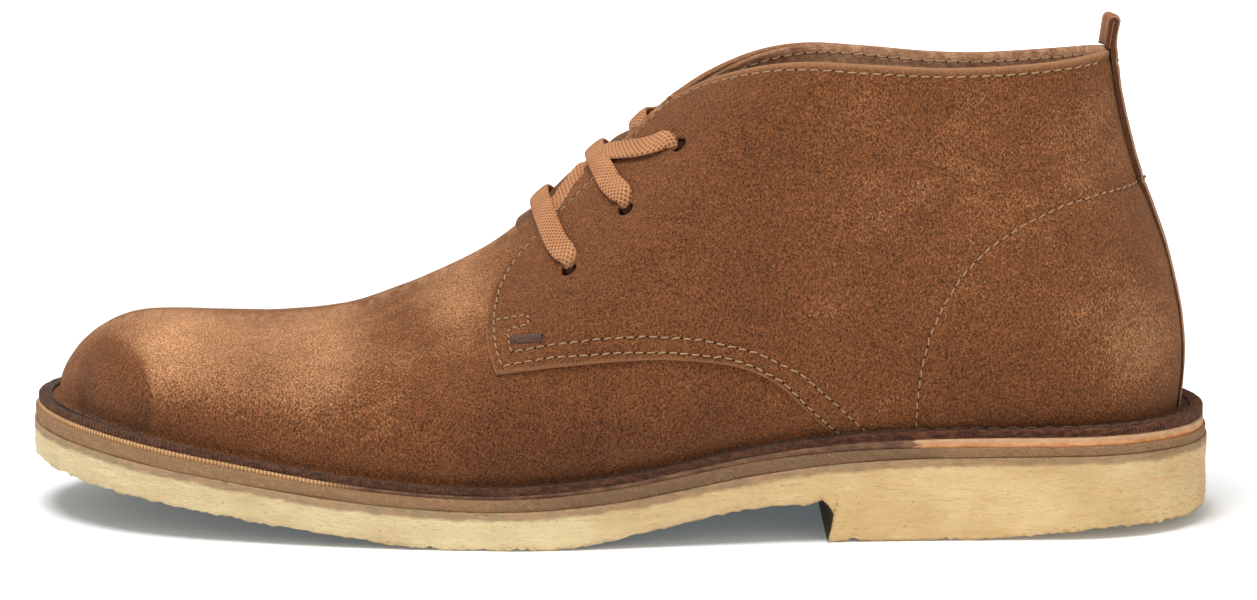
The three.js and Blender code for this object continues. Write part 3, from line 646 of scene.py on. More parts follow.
def grid_place(u, v, side):
    """Side view places of the last's grid: u from toe to heel, v from the feather line up."""
    run = both_ends(u)
    foot_x = lerp(TOE_X, HEEL_X, run)
    top_x = read(RIBS, "foot", "top", foot_x)
    top_z = np.where(top_x < THROAT_TOP_X, ridge_z(top_x), collar_z(top_x, side) - RIM_DROP)
    toe_top = RIBS["top"][0]
    toe_x = lerp(TOE_X, toe_top, v * v)
    toe_bow_x = toe_x - lerp(TOE_X, toe_top, v)
    toe_bow_z = ridge_z(toe_x) - lerp(wall_foot_z(TOE_X), ridge_z(toe_top), v)
    back_z = lerp(wall_foot_z(HEEL_X), collar_z(COLLAR_BACK_X) - RIM_DROP, v)
    back_bow = back_x(back_z) - lerp(HEEL_X, COLLAR_BACK_X, v)
    toe_share = (1 - run) ** 3
    x = lerp(foot_x, top_x, v) + toe_share * toe_bow_x + run**2 * back_bow
    return x, lerp(wall_foot_z(foot_x), top_z, v) + toe_share * toe_bow_z


def wall_grid():
    """Last's skin as rows of closed loops, with the height of each of the lowest rows fixed."""
    steps = UPPER_STEPS
    share = np.concatenate([np.arange(steps + 1), np.arange(steps - 1, 0, -1)]) / steps
    side = np.where(np.arange(2 * steps) <= steps, OUTER, INNER)
    foot_x = lerp(TOE_X, HEEL_X, both_ends(share))
    top_x = read(RIBS, "foot", "top", foot_x)
    top_z = np.where(top_x < THROAT_TOP_X, ridge_z(top_x), collar_z(top_x, side) - RIM_DROP)
    tall = top_z - wall_foot_z(foot_x)
    turn = np.linspace(0, np.pi / 2, FILLET_STEPS)
    heights = FLANGE_THICK / 2 + FILLET * (1 - np.cos(turn))
    low = heights[:, None] / tall[None]
    high = lerp(low[-1][None], 1.0, np.linspace(0, 1, WALL_STEPS)[1:, None])
    v = np.concatenate([low, high])
    x, z = grid_place(share[None], v, side[None])
    grid = skin(x, z, side[None])
    ends = np.isin(np.arange(2 * steps), (0, steps))
    grid[:, ends, 1] = middle_y(x[:, ends], z[:, ends])
    ridge = top_x < THROAT_TOP_X
    grid[-1, ridge, 1] = middle_y(x[-1, ridge], z[-1, ridge])
    return grid, side, top_x, turn


def loop_out(loop):
    """Level directions out of a closed loop."""
    ahead = unit(np.roll(loop, -1, 0) - np.roll(loop, 1, 0))
    return unit(np.stack([ahead[:, 1], -ahead[:, 0], 0 * ahead[:, 0]], -1))


def vamp_relief(points, side):
    """Height of the creases, hollows and soft waves of the lasted leather."""
    lift = 0.25 * noise(points, 26, 31) + 0.10 * noise(points, 9, 32) + 0.05 * noise(points, 3.2, 33)
    for creases, chosen in ((VAMP_CREASES, OUTER), (INNER_CREASES, INNER)):
        for line, width, depth in creases:
            away, share = near_line(points, line)
            fade = np.sin(np.pi * np.clip(share, 0.02, 0.98)) ** 0.6
            trough = np.exp(-((away / width) ** 2)) - 0.45 * np.exp(-(((away - 2.2 * width) / width) ** 2))
            lift = lift - depth * fade * trough * (side == chosen)
    return lift


def upper_shell():
    """Vamp, turned-out edge and lining as one closed skin."""
    wall, side, top_x, turn = wall_grid()
    steps = wall.shape[1]
    ids = np.arange(wall.shape[0] * steps).reshape(wall.shape[0], steps)
    quads = quads_of(np.hstack([ids, ids[:, :1]]))
    normals = -normals_of(wall.reshape(-1, 3), quads).reshape(wall.shape)
    if np.mean(np.sum(normals[20] * loop_out(wall[20]), -1)) < 0:
        normals = -normals
    lift = vamp_relief(wall, side[None])
    rise = wall[..., 2] - feather_z(wall[..., 0])
    lift = lift * ease(rise / 10)
    outer = wall + normals * lift[..., None]
    away = loop_out(wall[0])
    out_by = FILLET * (1 - np.sin(turn))
    for row in range(FILLET_STEPS):
        outer[row] = wall[row] + away * out_by[row]
        outer[row, :, 2] = feather_z(wall[row, :, 0]) + FILLET * (1 - np.cos(turn[row]))
    edge = sole_loop(FLANGE_EDGE_INSET, feather_z, UPPER_STEPS)
    under = sole_loop(FLANGE_EDGE_INSET, layer_top("welt", GAP), UPPER_STEPS)
    edge_out = loop_out(edge)
    shares = np.linspace(0, 1, FLANGE_ROWS)[1:]
    ledge = [lerp(outer[0], edge - edge_out * 0.35, share) for share in shares]
    for row in ledge:
        row[:, 2] = feather_z(row[:, 0])
    wave = 0.16 * noise(edge, 3.5, 34) + 0.2 * noise(edge, 12, 35)
    cup = 1.1 * ease((edge[:, 0] - 128) / 18)
    for share, row in zip(shares, ledge):
        row[:, 2] += (wave + cup) * share**2
    lip = edge.copy()
    lip[:, 2] += wave + cup - 0.45
    foot = under.copy()
    foot[:, 2] += 0.4
    below = under - edge_out * 0.35
    inner = wall - normals * WALL
    inner_foot = inner[0].copy()
    inner_foot[:, 2] = read(LAYERS, "x", "welt", inner_foot[:, 0]) + GAP
    outside = np.concatenate([np.stack([below, foot, lip, *ledge[::-1]]), outer])
    inside = np.concatenate([inner[::-1], inner_foot[None]])
    sheet = Sheet("flange", "inside", "along", "trim")
    run = along_rows(edge)
    flange = np.zeros(outside.shape[:2])
    flange[: 3 + len(ledge)] = 1.0
    flange[3 + len(ledge)] = 0.6
    edge_mark = np.zeros(outside.shape[:2])
    edge_mark[1:3] = 1.0
    edge_mark[3] = 0.5
    sheet.grid(outside, closed=True, flip=True, flange=flange, along=run[None], trim=edge_mark)
    sheet.grid(inside, closed=True, flip=True, inside=1.0, along=run[None])
    sheet.grid(np.stack([inner_foot, below]), closed=True, flip=True, inside=1.0, along=run[None])
    # rim of the collar, left open along the top middle line, where both sides meet
    open_top = top_x >= RIM_FROM
    following = np.roll(open_top, -1)
    top_out, top_in = outer[-1], inner[-1]
    middle = (top_out + top_in) / 2
    middle[:, 2] += 0.35 * open_top
    middle[~open_top] = ((top_out + top_in) / 2)[~open_top]
    for a, b in ((top_out, middle), (middle, top_in)):
        ids = np.arange(2 * steps).reshape(2, steps)
        quads = quads_of(np.hstack([ids, ids[:, :1]]))
        sheet.add(np.concatenate([a, b]), quads[(open_top | following)][:, ::-1], inside=0.5)
    return sheet


def ridge_band(from_x, to_x, outer, inner, steps):
    """Band of the skin along the top middle line, from and to places that may vary across it."""
    long, wide = steps
    across_share = np.linspace(-1, 1, wide)[None]
    start = from_x(across_share)
    x = lerp(start, to_x(across_share), np.linspace(0, 1, long)[:, None])
    across = np.where(across_share < 0, outer(x), inner(x)) * across_share
    return beside_ridge(x, across)


def band_solid(grid, outward, inward, round_by=0.0):
    """Closed solid between two offsets of a grid, whose edges may be rounded."""
    normals = grid_normals(grid)
    if np.mean(normals[..., 2]) < 0:
        normals = -normals
    top = grid + normals * outward
    low = grid + normals * inward
    if round_by:
        rows, cols = grid.shape[:2]
        i = np.minimum(np.arange(rows), np.arange(rows)[::-1])[:, None]
        j = np.minimum(np.arange(cols), np.arange(cols)[::-1])[None]
        drop = round_by * (np.minimum(i, j) == 0)
        top = top - normals * drop[..., None]
        low = low + normals * drop[..., None]
    return top, low, normals


def closed_solid(sheet, top, low, slot=0, edge_slot=None, **values):
    """Adds two facing grids and the walls between their edges."""
    edge_slot = slot if edge_slot is None else edge_slot
    sheet.grid(top, slot=slot, **values)
    sheet.grid(low, flip=True, slot=slot, **values)
    sides = (
        (top[0], low[0], False), (top[-1], low[-1], True),
        (top[:, 0], low[:, 0], True), (top[:, -1], low[:, -1], False),
    )
    for high_edge, low_edge, flip in sides:
        marks = {"edge": 1.0} if "edge" in sheet.values else {}
        sheet.grid(np.stack([high_edge, low_edge]), flip=flip, slot=edge_slot, **marks)


def throat_cutter():
    """Opening under the laces, from the vamp's curved top edge back past the collar's front."""
    def start(share):
        return -27.5 + 5.5 * np.abs(share) ** 1.6

    def width(name):
        def half(x):
            return np.where(x < -20, 15.5, read(THROAT, "x", name, x) + 1.0)
        return half

    grid = ridge_band(start, lambda share: 27 + 0 * share, width("outer"), width("inner"), (30, 22))
    top, low, _ = band_solid(grid, 9, -9)
    sheet = Sheet()
    closed_solid(sheet, top, low)
    return sheet


def plain_piece(name, sheet):
    points = np.concatenate(sheet.points) * 0.001
    mesh = bpy.data.meshes.new(name)
    mesh.from_pydata(points.tolist(), [], np.concatenate(sheet.faces).tolist())
    work = bmesh.new()
    work.from_mesh(mesh)
    bmesh.ops.remove_doubles(work, verts=work.verts, dist=1e-6)
    bmesh.ops.recalc_face_normals(work, faces=work.faces)
    work.to_mesh(mesh)
    work.free()
    piece = bpy.data.objects.new(name, mesh)
    bpy.context.scene.collection.objects.link(piece)
    return piece


# ------------------------------------------------------------------ quarters

QUARTER_LONG = 200
QUARTER_HIGH = 104
EDGE_PLACES = (0.0, 0.12, 0.3, 0.6, 1.1)

# Rows of stitches on a quarter, in the side view.
COUNTER_SEAM = (
    (132.6, 85.2), (118.6, 83.5), (109.1, 81.2), (100, 77.2), (91, 71.5), (84.5, 65.1), (79.5, 57.5),
    (76.5, 50.8), (74.6, 43.7), (73.5, 34.6), (73.5, 27.5),
)
LOWER_ROW = (
    (-28.4, 44.3), (-15.7, 46.9), (0.7, 48.0), (13.8, 47.9), (26.8, 46.5), (33.4, 44.2), (40, 40.6),
    (47, 33.6), (54.9, 26.2),
)
UPPER_ROW = (
    (-25.5, 47.5), (-16.4, 49.5), (-5.9, 51.1), (7.2, 51.7), (20.2, 50.9), (33.4, 47.8), (44.4, 42.4),
    (53.2, 34.7), (61.6, 26.6),
)
BOX_ROW = ((-30.3, 53.5), (-21.7, 55.5), (-21.7, 53.4), (-27.1, 51.9), (-26.0, 47.3))
BAR_TACK = ((-26.3, 49.7), (-17.9, 50.9))
FRONT_ROW_IN = 2.1
COLLAR_ROW_DOWN = 2.3


def quarter_front(side, places):
    """Front edge of a quarter in the side view, from its foot up to the collar."""
    key = "outer" if side == OUTER else "inner"
    x = THROAT["x"]
    high = beside_ridge(x, side * THROAT[key])[:, [0, 2]]
    low = np.stack([QUARTER_FRONT["x"], QUARTER_FRONT["z"]], -1)
    return catmull(np.concatenate([low, high]), places)


def steps_with_edges(count, length, both=True):
    """Shares of a length with rows close to its start, and to its end if asked."""
    near = np.array(EDGE_PLACES) / length
    inner = np.linspace(near[-1], 1 - near[-1] if both else 1, count)
    parts = [near[:-1], inner]
    if both:
        parts.append(1 - near[:-1][::-1])
    return np.concatenate(parts)


def quarter_grid(side):
    """Side view places of a quarter between its four edges, laid on the last."""
    u = steps_with_edges(QUARTER_LONG, 160, both=False)[:, None]
    v = steps_with_edges(QUARTER_HIGH, 62)[None]
    front = quarter_front(side, v[0])[None]
    from_x = QUARTER_BOTTOM["x"][0]
    top_x = front[0, -1, 0]
    bottom_x = lerp(from_x, HEEL_X, u)
    bottom_z = np.maximum(read(QUARTER_BOTTOM, "x", "z", bottom_x), wall_foot_z(bottom_x) + 0.3)
    ceiling_x = lerp(top_x, COLLAR_BACK_X, u)
    ceiling_z = np.where(u == 0, front[0, -1, 1], collar_z(ceiling_x, side))
    back_z = lerp(bottom_z[-1], ceiling_z[-1], v)
    x = lerp(bottom_x, ceiling_x, v) + lerp(front[..., 0], back_x(back_z), u)
    x = x - lerp(lerp(from_x, top_x, v), lerp(HEEL_X, COLLAR_BACK_X, v), u)
    z = lerp(bottom_z, ceiling_z, v) + lerp(front[..., 1], back_z, u)
    z = z - lerp(lerp(bottom_z[0, 0], front[0, -1, 1], v), lerp(bottom_z[-1, 0], ceiling_z[-1, 0], v), u)
    grid = skin(x, z, side)
    grid[-1, :, 1] = middle_y(x[-1], z[-1])
    return grid


def row_trough(points, line, depth=0.36, width=0.7):
    away, _ = near_line(points, line)
    return -depth * np.exp(-((away / width) ** 2))


def quarter_relief(points, edge_away, front_away, top_away, side):
    """Height of a quarter's face: soft waves that fade towards the cut edges, sunk stitch rows, the raised counter and
    rings round the lace holes.
    """
    lift = 0.22 * noise(points, 24, 41) + 0.10 * noise(points, 8, 42) + 0.05 * noise(points, 3.0, 43)
    lift = lift * ease(edge_away / 6)
    for line in (COUNTER_SEAM, LOWER_ROW, UPPER_ROW):
        lift = lift + row_trough(points, line)
    if side == OUTER:
        lift = lift + row_trough(points, BOX_ROW, 0.18, 0.6)
    lift = lift - 0.36 * np.exp(-(((front_away - FRONT_ROW_IN) / 0.75) ** 2))
    lift = lift - 0.36 * np.exp(-(((top_away - COLLAR_ROW_DOWN) / 0.75) ** 2))
    seam = np.array(COUNTER_SEAM)
    seam_z = np.interp(points[..., 0], seam[::-1, 0], seam[::-1, 1])
    below = ease((seam_z - points[..., 2]) / 5) * ease((points[..., 0] - 73.5) / 4)
    lift = lift + 0.55 * below
    for k in range(3):
        x, z = LACE_HOLES["x"][k], LACE_HOLES["z"][k]
        away = np.hypot(points[..., 0] - x, points[..., 2] - z)
        lift = lift - 0.35 * np.exp(-(((away - 2.6) / 0.9) ** 2)) + 0.16 * np.exp(-(((away - 4.4) / 0.8) ** 2))
    return lift


def distances(grid):
    """Distances from a quarter's front, bottom and top edges at its points."""
    long = np.linalg.norm(np.diff(grid, axis=0), axis=-1)
    high = np.linalg.norm(np.diff(grid, axis=1), axis=-1)
    zero_row = np.zeros((1, grid.shape[1]))
    zero_col = np.zeros((grid.shape[0], 1))
    front = np.concatenate([zero_row, np.cumsum(long, 0)])
    bottom = np.concatenate([zero_col, np.cumsum(high, 1)], 1)
    top = bottom[:, -1:] - bottom
    return front, bottom, top


def cut_round(away, size=0.45):
    """Drop of a face towards a cut edge that is a little rounded."""
    t = np.clip(away / size, 0, 1)
    return size * (1 - np.sqrt(np.maximum(1 - (1 - t) ** 2, 0)))


QUARTER_FACES = {}


def quarter(side):
    """One quarter as a closed solid, with its face kept for the stitches."""
    grid = quarter_grid(side)
    normals = quarter_normals(grid, side)
    front, bottom, top = distances(grid)
    edge_away = np.minimum(np.minimum(front, bottom), top)
    lift = quarter_relief(grid, edge_away, front, top, side)
    height = QUARTER_THICK + lift - cut_round(edge_away)
    face = grid + normals * height[..., None]
    back = grid - normals * (0.3 + 0 * height)[..., None]
    QUARTER_FACES[side] = (grid, normals, height)
    sheet = Sheet("edge", "inside")
    mark = np.maximum(0.6 * np.exp(-((edge_away / 0.45) ** 2)), np.exp(-((top / 1.3) ** 2)))
    flip = side == OUTER
    sheet.grid(face, flip=flip, edge=mark)
    sheet.grid(back, flip=not flip, inside=1.0, edge=mark)
    rims = (
        (face[0], back[0], flip), (face[-1], back[-1], not flip),
        (face[:, 0], back[:, 0], not flip), (face[:, -1], back[:, -1], flip),
    )
    for a, b, turned in rims:
        middle = (a + b) / 2
        sheet.grid(np.stack([a, middle, b]), flip=turned, edge=0.6)
    return sheet


def quarter_normals(grid, side):
    """Directions out of a quarter, level at the back where both quarters meet."""
    normals = grid_normals(grid)
    if np.mean(normals[..., 1]) * side < 0:
        normals = -normals
    last = normals[-1]
    last[:, 1] = 0
    normals[-1] = unit(last)
    return normals


def hole_cutters():
    """Rods through the six lace holes."""
    sheet = Sheet()
    turn = np.linspace(0, 2 * np.pi, 33)[:-1]
    for side in (OUTER, INNER):
        for x, z in zip(LACE_HOLES["x"], LACE_HOLES["z"]):
            centre = skin(x, z, side)
            out = skin_normal(np.array(x), np.array(z), np.array(side))
            across = unit(np.cross(out, (0, 0, 1.0)))
            up = np.cross(out, across)
            ring = np.cos(turn)[:, None] * across + np.sin(turn)[:, None] * up
            rows = [centre + out * height + ring * 2.1 for height in (-7, 7)]
            rows.insert(0, np.broadcast_to(centre - out * 7, ring.shape))
            rows.append(np.broadcast_to(centre + out * 7, ring.shape))
            sheet.grid(np.stack(rows), closed=True)
    return sheet


# ------------------------------------------------------------------ stitches

THREAD = 0.21
RINGS = 7
SIDES = 6


def tubes(sheet, starts, ends, normals, radius=THREAD, rise=0.2, dip=0.26, slot=0):
    """Short arched threads between pairs of points."""
    share = np.linspace(0, 1, RINGS)[None, :, None]
    ahead = unit(ends - starts)
    across = unit(np.cross(normals, ahead))
    arch = np.sin(np.pi * share) ** 0.8
    path = lerp(starts[:, None], ends[:, None], share)
    path = path + normals[:, None] * (arch * (rise + dip) - dip)
    turn = np.linspace(0, 2 * np.pi, SIDES + 1)[:-1]
    fat = radius * (0.45 + 0.55 * np.sin(np.pi * np.clip(share, 0.04, 0.96)) ** 0.5)
    ring = across[:, None, None] * np.cos(turn)[None, None, :, None]
    ring = ring + normals[:, None, None] * np.sin(turn)[None, None, :, None]
    points = path[:, :, None] + ring * fat[..., None]
    ids = np.arange(RINGS * SIDES).reshape(RINGS, SIDES)
    quads = quads_of(np.hstack([ids, ids[:, :1]]))
    caps = np.array([[ids[0, 0], ids[0, 1], ids[0, 2], ids[0, 3]], [ids[0, 0], ids[0, 3], ids[0, 4], ids[0, 5]]])
    far = np.array([[ids[-1, 3], ids[-1, 2], ids[-1, 1], ids[-1, 0]], [ids[-1, 5], ids[-1, 4], ids[-1, 3], ids[-1, 0]]])
    one = np.concatenate([quads, caps, far])
    count = len(starts)
    faces = (one[None] + (np.arange(count) * RINGS * SIDES)[:, None, None]).reshape(-1, 4)
    sheet.add(points.reshape(-1, 3), faces, slot=slot)


def pits(sheet, centres, normals, ahead, radius=0.4, slot=1):
    """Painted shade of needle holes: dark low lenses set in the surface."""
    across = unit(np.cross(normals, ahead))
    turn = np.linspace(0, 2 * np.pi, 9)[:-1]
    ring = across[:, None] * np.cos(turn)[None, :, None] + ahead[:, None] * np.sin(turn)[None, :, None]
    edge = centres[:, None] + ring * radius - normals[:, None] * 0.04
    top = centres + normals * 0.07
    low = centres - normals * 0.25
    points = np.concatenate([edge, top[:, None], low[:, None]], axis=1)
    faces = []
    for k in range(0, 8, 2):
        faces.append((k, (k + 1) % 8, (k + 2) % 8, 8))
        faces.append(((k + 2) % 8, (k + 1) % 8, k, 9))
    one = np.array(faces)
    faces = (one[None] + (np.arange(len(centres)) * 10)[:, None, None]).reshape(-1, 4)
    sheet.add(points.reshape(-1, 3), faces, slot=slot)


def sew(sheet, path, normals, pitch, gap=0.5, radius=THREAD, hole=0.4, slots=(0, 1)):
    """Row of stitches along a path on a surface."""
    both = np.concatenate([path, normals], axis=1)
    run = along_rows(path)
    count = max(int(round(run[-1] / pitch)), 1)
    marks = np.linspace(0, run[-1], count + 1)

    def at(place):
        return np.stack([np.interp(place, run, both[:, k]) for k in range(6)], -1)

    step = run[-1] / count
    wobble = 0.09 * np.sin(np.arange(count) * 2.4) + 0.06 * np.sin(np.arange(count) * 5.1)
    starts = at(marks[:-1] + gap * step / pitch / 2)
    ends = at(marks[1:] - gap * step / pitch / 2)
    middle = unit(starts[:, 3:] + ends[:, 3:])
    ahead = unit(ends[:, :3] - starts[:, :3])
    slant = np.cross(middle, ahead) * (0.11 + wobble)[:, None]
    tubes(sheet, starts[:, :3] - slant, ends[:, :3] + slant, middle, radius, slot=slots[0])
    knots = at(marks)
    ahead = unit(np.gradient(knots[:, :3], axis=0)) if len(knots) > 1 else np.zeros((1, 3))
    pits(sheet, knots[:, :3], unit(knots[:, 3:]), ahead, hole, slot=slots[1])


def face_row(side, line, pitch=0.6):
    """Points and normals on a quarter's face along a line of the side view."""
    grid, normals, height = QUARTER_FACES[side]
    places = resample(np.asarray(line, float), pitch)
    flat = grid[..., [0, 2]].reshape(-1, 2)
    heights, out = height.reshape(-1), normals.reshape(-1, 3)
    points, directions = [], []
    for x, z in places:
        away = np.hypot(flat[:, 0] - x, flat[:, 1] - z)
        near = np.argpartition(away, 6)[:6]
        weight = 1 / (away[near] + 0.05) ** 2
        weight = weight / weight.sum()
        direction = unit((out[near] * weight[:, None]).sum(0))
        base = skin(x, z, side)
        points.append(base + direction * (heights[near] * weight).sum())
        directions.append(direction)
    return np.array(points), np.array(directions)


def edge_row(side, which, distance):
    """Points and normals on a quarter's face at a distance from its front or top edge."""
    grid, normals, height = QUARTER_FACES[side]
    face = grid + normals * height[..., None]
    front, _, top = distances(grid)
    if which == "front":
        away, face, normals = front.T, face.transpose(1, 0, 2), normals.transpose(1, 0, 2)
    else:
        away, face, normals = top[:, ::-1], face[:, ::-1], normals[:, ::-1]
    rows = []
    for line, points, out in zip(away, face, normals):
        both = np.concatenate([points, out], axis=1)
        rows.append([np.interp(distance, line, both[:, k]) for k in range(6)])
    rows = np.array(rows)
    return rows[:, :3], unit(rows[:, 3:])


def upper_stitches():
    sheet = Sheet()
    for side in (OUTER, INNER):
        points, normals = edge_row(side, "front", FRONT_ROW_IN)
        keep = points[:, 2] > 44.4
        sew(sheet, points[keep], normals[keep], 2.7)
        points, normals = edge_row(side, "top", COLLAR_ROW_DOWN)
        keep = (points[:, 0] > 13.5) & (points[:, 0] < 120.6)
        sew(sheet, points[keep], normals[keep], 3.1)
        inside = points[keep] - normals[keep] * (QUARTER_THICK + WALL)
        sew(sheet, inside - normals[keep] * 0.12, -normals[keep], 3.1, hole=0.26)
        for line, pitch in ((LOWER_ROW, 2.75), (UPPER_ROW, 2.75), (COUNTER_SEAM, 2.75)):
            sew(sheet, *face_row(side, line), pitch)
    sew(sheet, *face_row(OUTER, BOX_ROW), 2.1, gap=0.4)
    return sheet


def bar_tack():
    sheet = Sheet()
    points, normals = face_row(OUTER, BAR_TACK)
    ends = np.stack([points[0], points[-1]])
    across = unit(np.cross(normals[0], ends[1] - ends[0]))
    for offset, low in ((-0.75, 0.0), (0.0, 0.25), (0.75, 0.0)):
        start = (ends[0] + across * offset)[None]
        end = (ends[1] + across * offset * 0.9)[None]
        tubes(sheet, start, end, normals[:1], radius=0.55, rise=0.3 + low, dip=0.5)
    run = np.linspace(0.06, 0.94, 15)[:, None]
    centre = lerp(ends[:1], ends[1:], run)
    tubes(sheet, centre - across * 1.35, centre + across * 1.35, np.repeat(normals[:1], 15, 0), 0.3, 1.1, 0.3)
    return sheet


def hole_shades():
    """Dark discs within the lace holes, just under the face of each quarter."""
    sheet = Sheet()
    for side in (OUTER, INNER):
        x, z = LACE_HOLES["x"], LACE_HOLES["z"]
        sides = np.full(x.shape, side)
        out = skin_normal(x, z, sides)
        ahead = unit(np.cross(out, (0, 0, 1.0)))
        pits(sheet, skin(x, z, sides) + out * 0.15, out, ahead, 2.35, slot=0)
    return sheet


def flange_stitches():
    """Heavy stitches that hold the turned-out edge, close to the foot of the upper."""
    loop = sole_loop(FLANGE_EDGE_INSET, feather_z, 240)
    edge_out = loop_out(loop)
    path = loop - edge_out * 3.0
    path[:, 2] = feather_z(path[:, 0]) + 0.3 * ease((path[:, 0] - 128) / 18)
    path = np.concatenate([path, path[:1]])
    up = np.broadcast_to((0.0, 0.0, 1.0), path.shape)
    sheet = Sheet()
    sew(sheet, path, up, 4.5, gap=0.7, radius=0.42, hole=0.62)
    return sheet


# ------------------------------------------------------------------ tongue, strap and lace

TONGUE_DEPTH = 2.8
TONGUE_THICK = 1.5
LACE_WIDE = 6.0
LACE_THICK = 1.5
LACE_HEIGHT = QUARTER_THICK + LACE_THICK / 2 + 0.3
RUN_DROP = 1.2


def tongue_leather():
    grid = ridge_band(
        lambda share: -38 + 0 * share, lambda share: 17 - 5 * np.abs(share) ** 3,
        lambda x: 20 + 0 * x, lambda x: 20 + 0 * x, (90, 60),
    )
    normals = grid_normals(grid)
    if np.mean(normals[..., 2]) < 0:
        normals = -normals
    across = grid[..., 1] - middle_y(grid[..., 0], grid[..., 2])
    brow = -29.5 + 5.5 * (np.abs(across) / 15.5) ** 1.6
    between = ease((grid[..., 0] - brow) / 5) * ease((10 - grid[..., 0]) / 12)
    under_bars = np.exp(-(((grid[..., 0] + 18.8) / 4) ** 2)) + np.exp(-(((grid[..., 0] + 4.8) / 4) ** 2))
    bulge = (3.9 - 0.6 * under_bars) * np.exp(-((across / 9) ** 2)) * between
    rough = 0.25 * noise(grid, 7, 51) + 0.12 * noise(grid, 2.2, 52)
    top = grid + normals * (-TONGUE_DEPTH + bulge + rough)[..., None]
    low = top - normals * TONGUE_THICK
    sheet = Sheet("edge")
    closed_solid(sheet, top, low, edge=0.0)
    return sheet


STRAP = {"half": 7.0, "thick": 1.35, "under": 0.12, "foot": 26.5, "loop": 126.6, "bend": 0.72, "lean": 1.3,
         "round": 26.0}


def strap_line():
    """Side view of the strap's middle: up the back, round the loop and down on the collar."""
    outside = QUARTER_THICK + STRAP["under"] + STRAP["thick"] / 2
    collar = float(collar_z(COLLAR_BACK_X))
    fold_z = STRAP["loop"] - STRAP["thick"] / 2 - STRAP["bend"]
    z = np.linspace(STRAP["foot"], fold_z, 110)
    lean = STRAP["lean"] * ease((z - collar) / (STRAP["loop"] - collar))
    up = np.stack([back_x(z) + outside + lean, z], -1)
    turn = np.linspace(0, np.pi, 17)[1:]
    fold_x = up[-1, 0] - STRAP["bend"]
    bend = np.stack([fold_x + STRAP["bend"] * np.cos(turn), fold_z + STRAP["bend"] * np.sin(turn)], -1)
    down_z = np.linspace(fold_z, collar + 0.3, 10)[1:]
    down = np.stack([bend[-1, 0] - 0.9 * (fold_z - down_z) / 6, down_z], -1)
    return np.concatenate([up, bend, down])


def pull_strap():
    line = strap_line()
    across = np.concatenate([[-1, -0.985, -0.95], np.linspace(-0.88, 0.88, 23), [0.95, 0.985, 1]])
    y_off = across[None] * STRAP["half"]
    x = line[:, :1] - y_off**2 / (2 * STRAP["round"])
    z = line[:, 1:] + 0 * y_off
    grid = np.stack([x, middle_y(x, z) + y_off, z], -1)
    normals = grid_normals(grid)
    if normals[10, 10, 0] < 0:
        normals = -normals
    dip = cut_round((1 - np.abs(across)) * STRAP["half"], 0.1)[None]
    rough = 0.12 * noise(grid, 6, 61) + 0.05 * noise(grid, 2, 62)
    crease = np.zeros(len(line))
    for place, depth in ((85.2, 0.3), (115.0, 0.35)):
        crease = crease - depth * np.exp(-(((line[:, 1] - place) / 0.9) ** 2))
    crease[112:] = 0
    top = grid + normals * (STRAP["thick"] / 2 + rough + crease[:, None] - dip)[..., None]
    low = grid - normals * (STRAP["thick"] / 2 - dip)[..., None]
    sheet = Sheet("edge", "line")
    light = np.exp(-(((1 - np.abs(across)) * STRAP["half"] / 1.0) ** 2))[None] + 0 * x
    closed_solid(sheet, top, low, edge_slot=1, line=light)
    return sheet


def strap_stitches():
    """Short rows where the collar row and the counter seam cross the strap."""
    sheet = Sheet()
    line = strap_line()
    for height in (85.2, 115.0):
        row = int(np.argmin(np.abs(line[:100, 1] - height)))
        y_off = np.linspace(-6.2, 6.2, 25)
        x = line[row, 0] - y_off**2 / (2 * STRAP["round"]) + STRAP["thick"] / 2 - 0.2
        points = np.stack([x, middle_y(x, line[row, 1]) + y_off, line[row, 1] + 0 * x], -1)
        normals = unit(np.stack([1 + 0 * x, y_off / STRAP["round"], 0.25 + 0 * x], -1))
        sew(sheet, points, normals, 2.6, hole=0.12)
    return sheet


def on_quarter(hole, ridge_x, side, drop=0.0, steps=12):
    """Lace on a quarter from a hole to the top middle line, which it reaches lower by a drop."""
    step = np.linspace(0, 1, steps + 1)
    share = 1 - (1 - step) ** 2
    x = lerp(LACE_HOLES["x"][hole], ridge_x, share)
    z = lerp(LACE_HOLES["z"][hole], ridge_z(ridge_x), share)
    normals = skin_normal(x, z, np.full(x.shape, side), 0.02)
    normals[-1] = ridge_normal(np.array(ridge_x))
    points = skin(x, z, side)
    points[-1, 1] = middle_y(x[-1], z[-1])
    height = LACE_HEIGHT - drop * ease(2 * step - 1)
    return points + normals * height[:, None], normals


def into_hole(path, normals, hole, side, depth=6.0):
    """Leads a lace that lies on a quarter down into its hole; the path starts at the hole."""
    centre = skin(LACE_HOLES["x"][hole], LACE_HOLES["z"][hole], side)
    out = skin_normal(np.array(LACE_HOLES["x"][hole]), np.array(LACE_HOLES["z"][hole]), np.array(side))
    back = unit(path[2] - path[0])
    back = unit(back - out * (back @ out))
    points = [
        centre - out * depth + back * 0.8, centre - out * 2.2 + back * 1.2, centre + back * 1.7 + out * 0.2,
        centre + back * 2.4 + out * 1.2, centre + back * 3.8 + out * (LACE_HEIGHT - 0.3),
    ]
    hints = [-back, -back, -back, unit(out - back), unit(out - back * 0.3)]
    keep = np.linalg.norm(path - path[0], axis=-1) > 5.0
    points, hints = np.concatenate([points, path[keep]]), np.concatenate([hints, normals[keep]])
    beside = np.cross(out, back)
    beside = beside * np.sign(beside[0] + 1e-9)
    bend = 1.2 * np.exp(-(((np.linalg.norm(points - centre, axis=-1) - 4.0) / 4.0) ** 2))
    bend[:2] = 0
    return points + beside * bend[:, None], hints


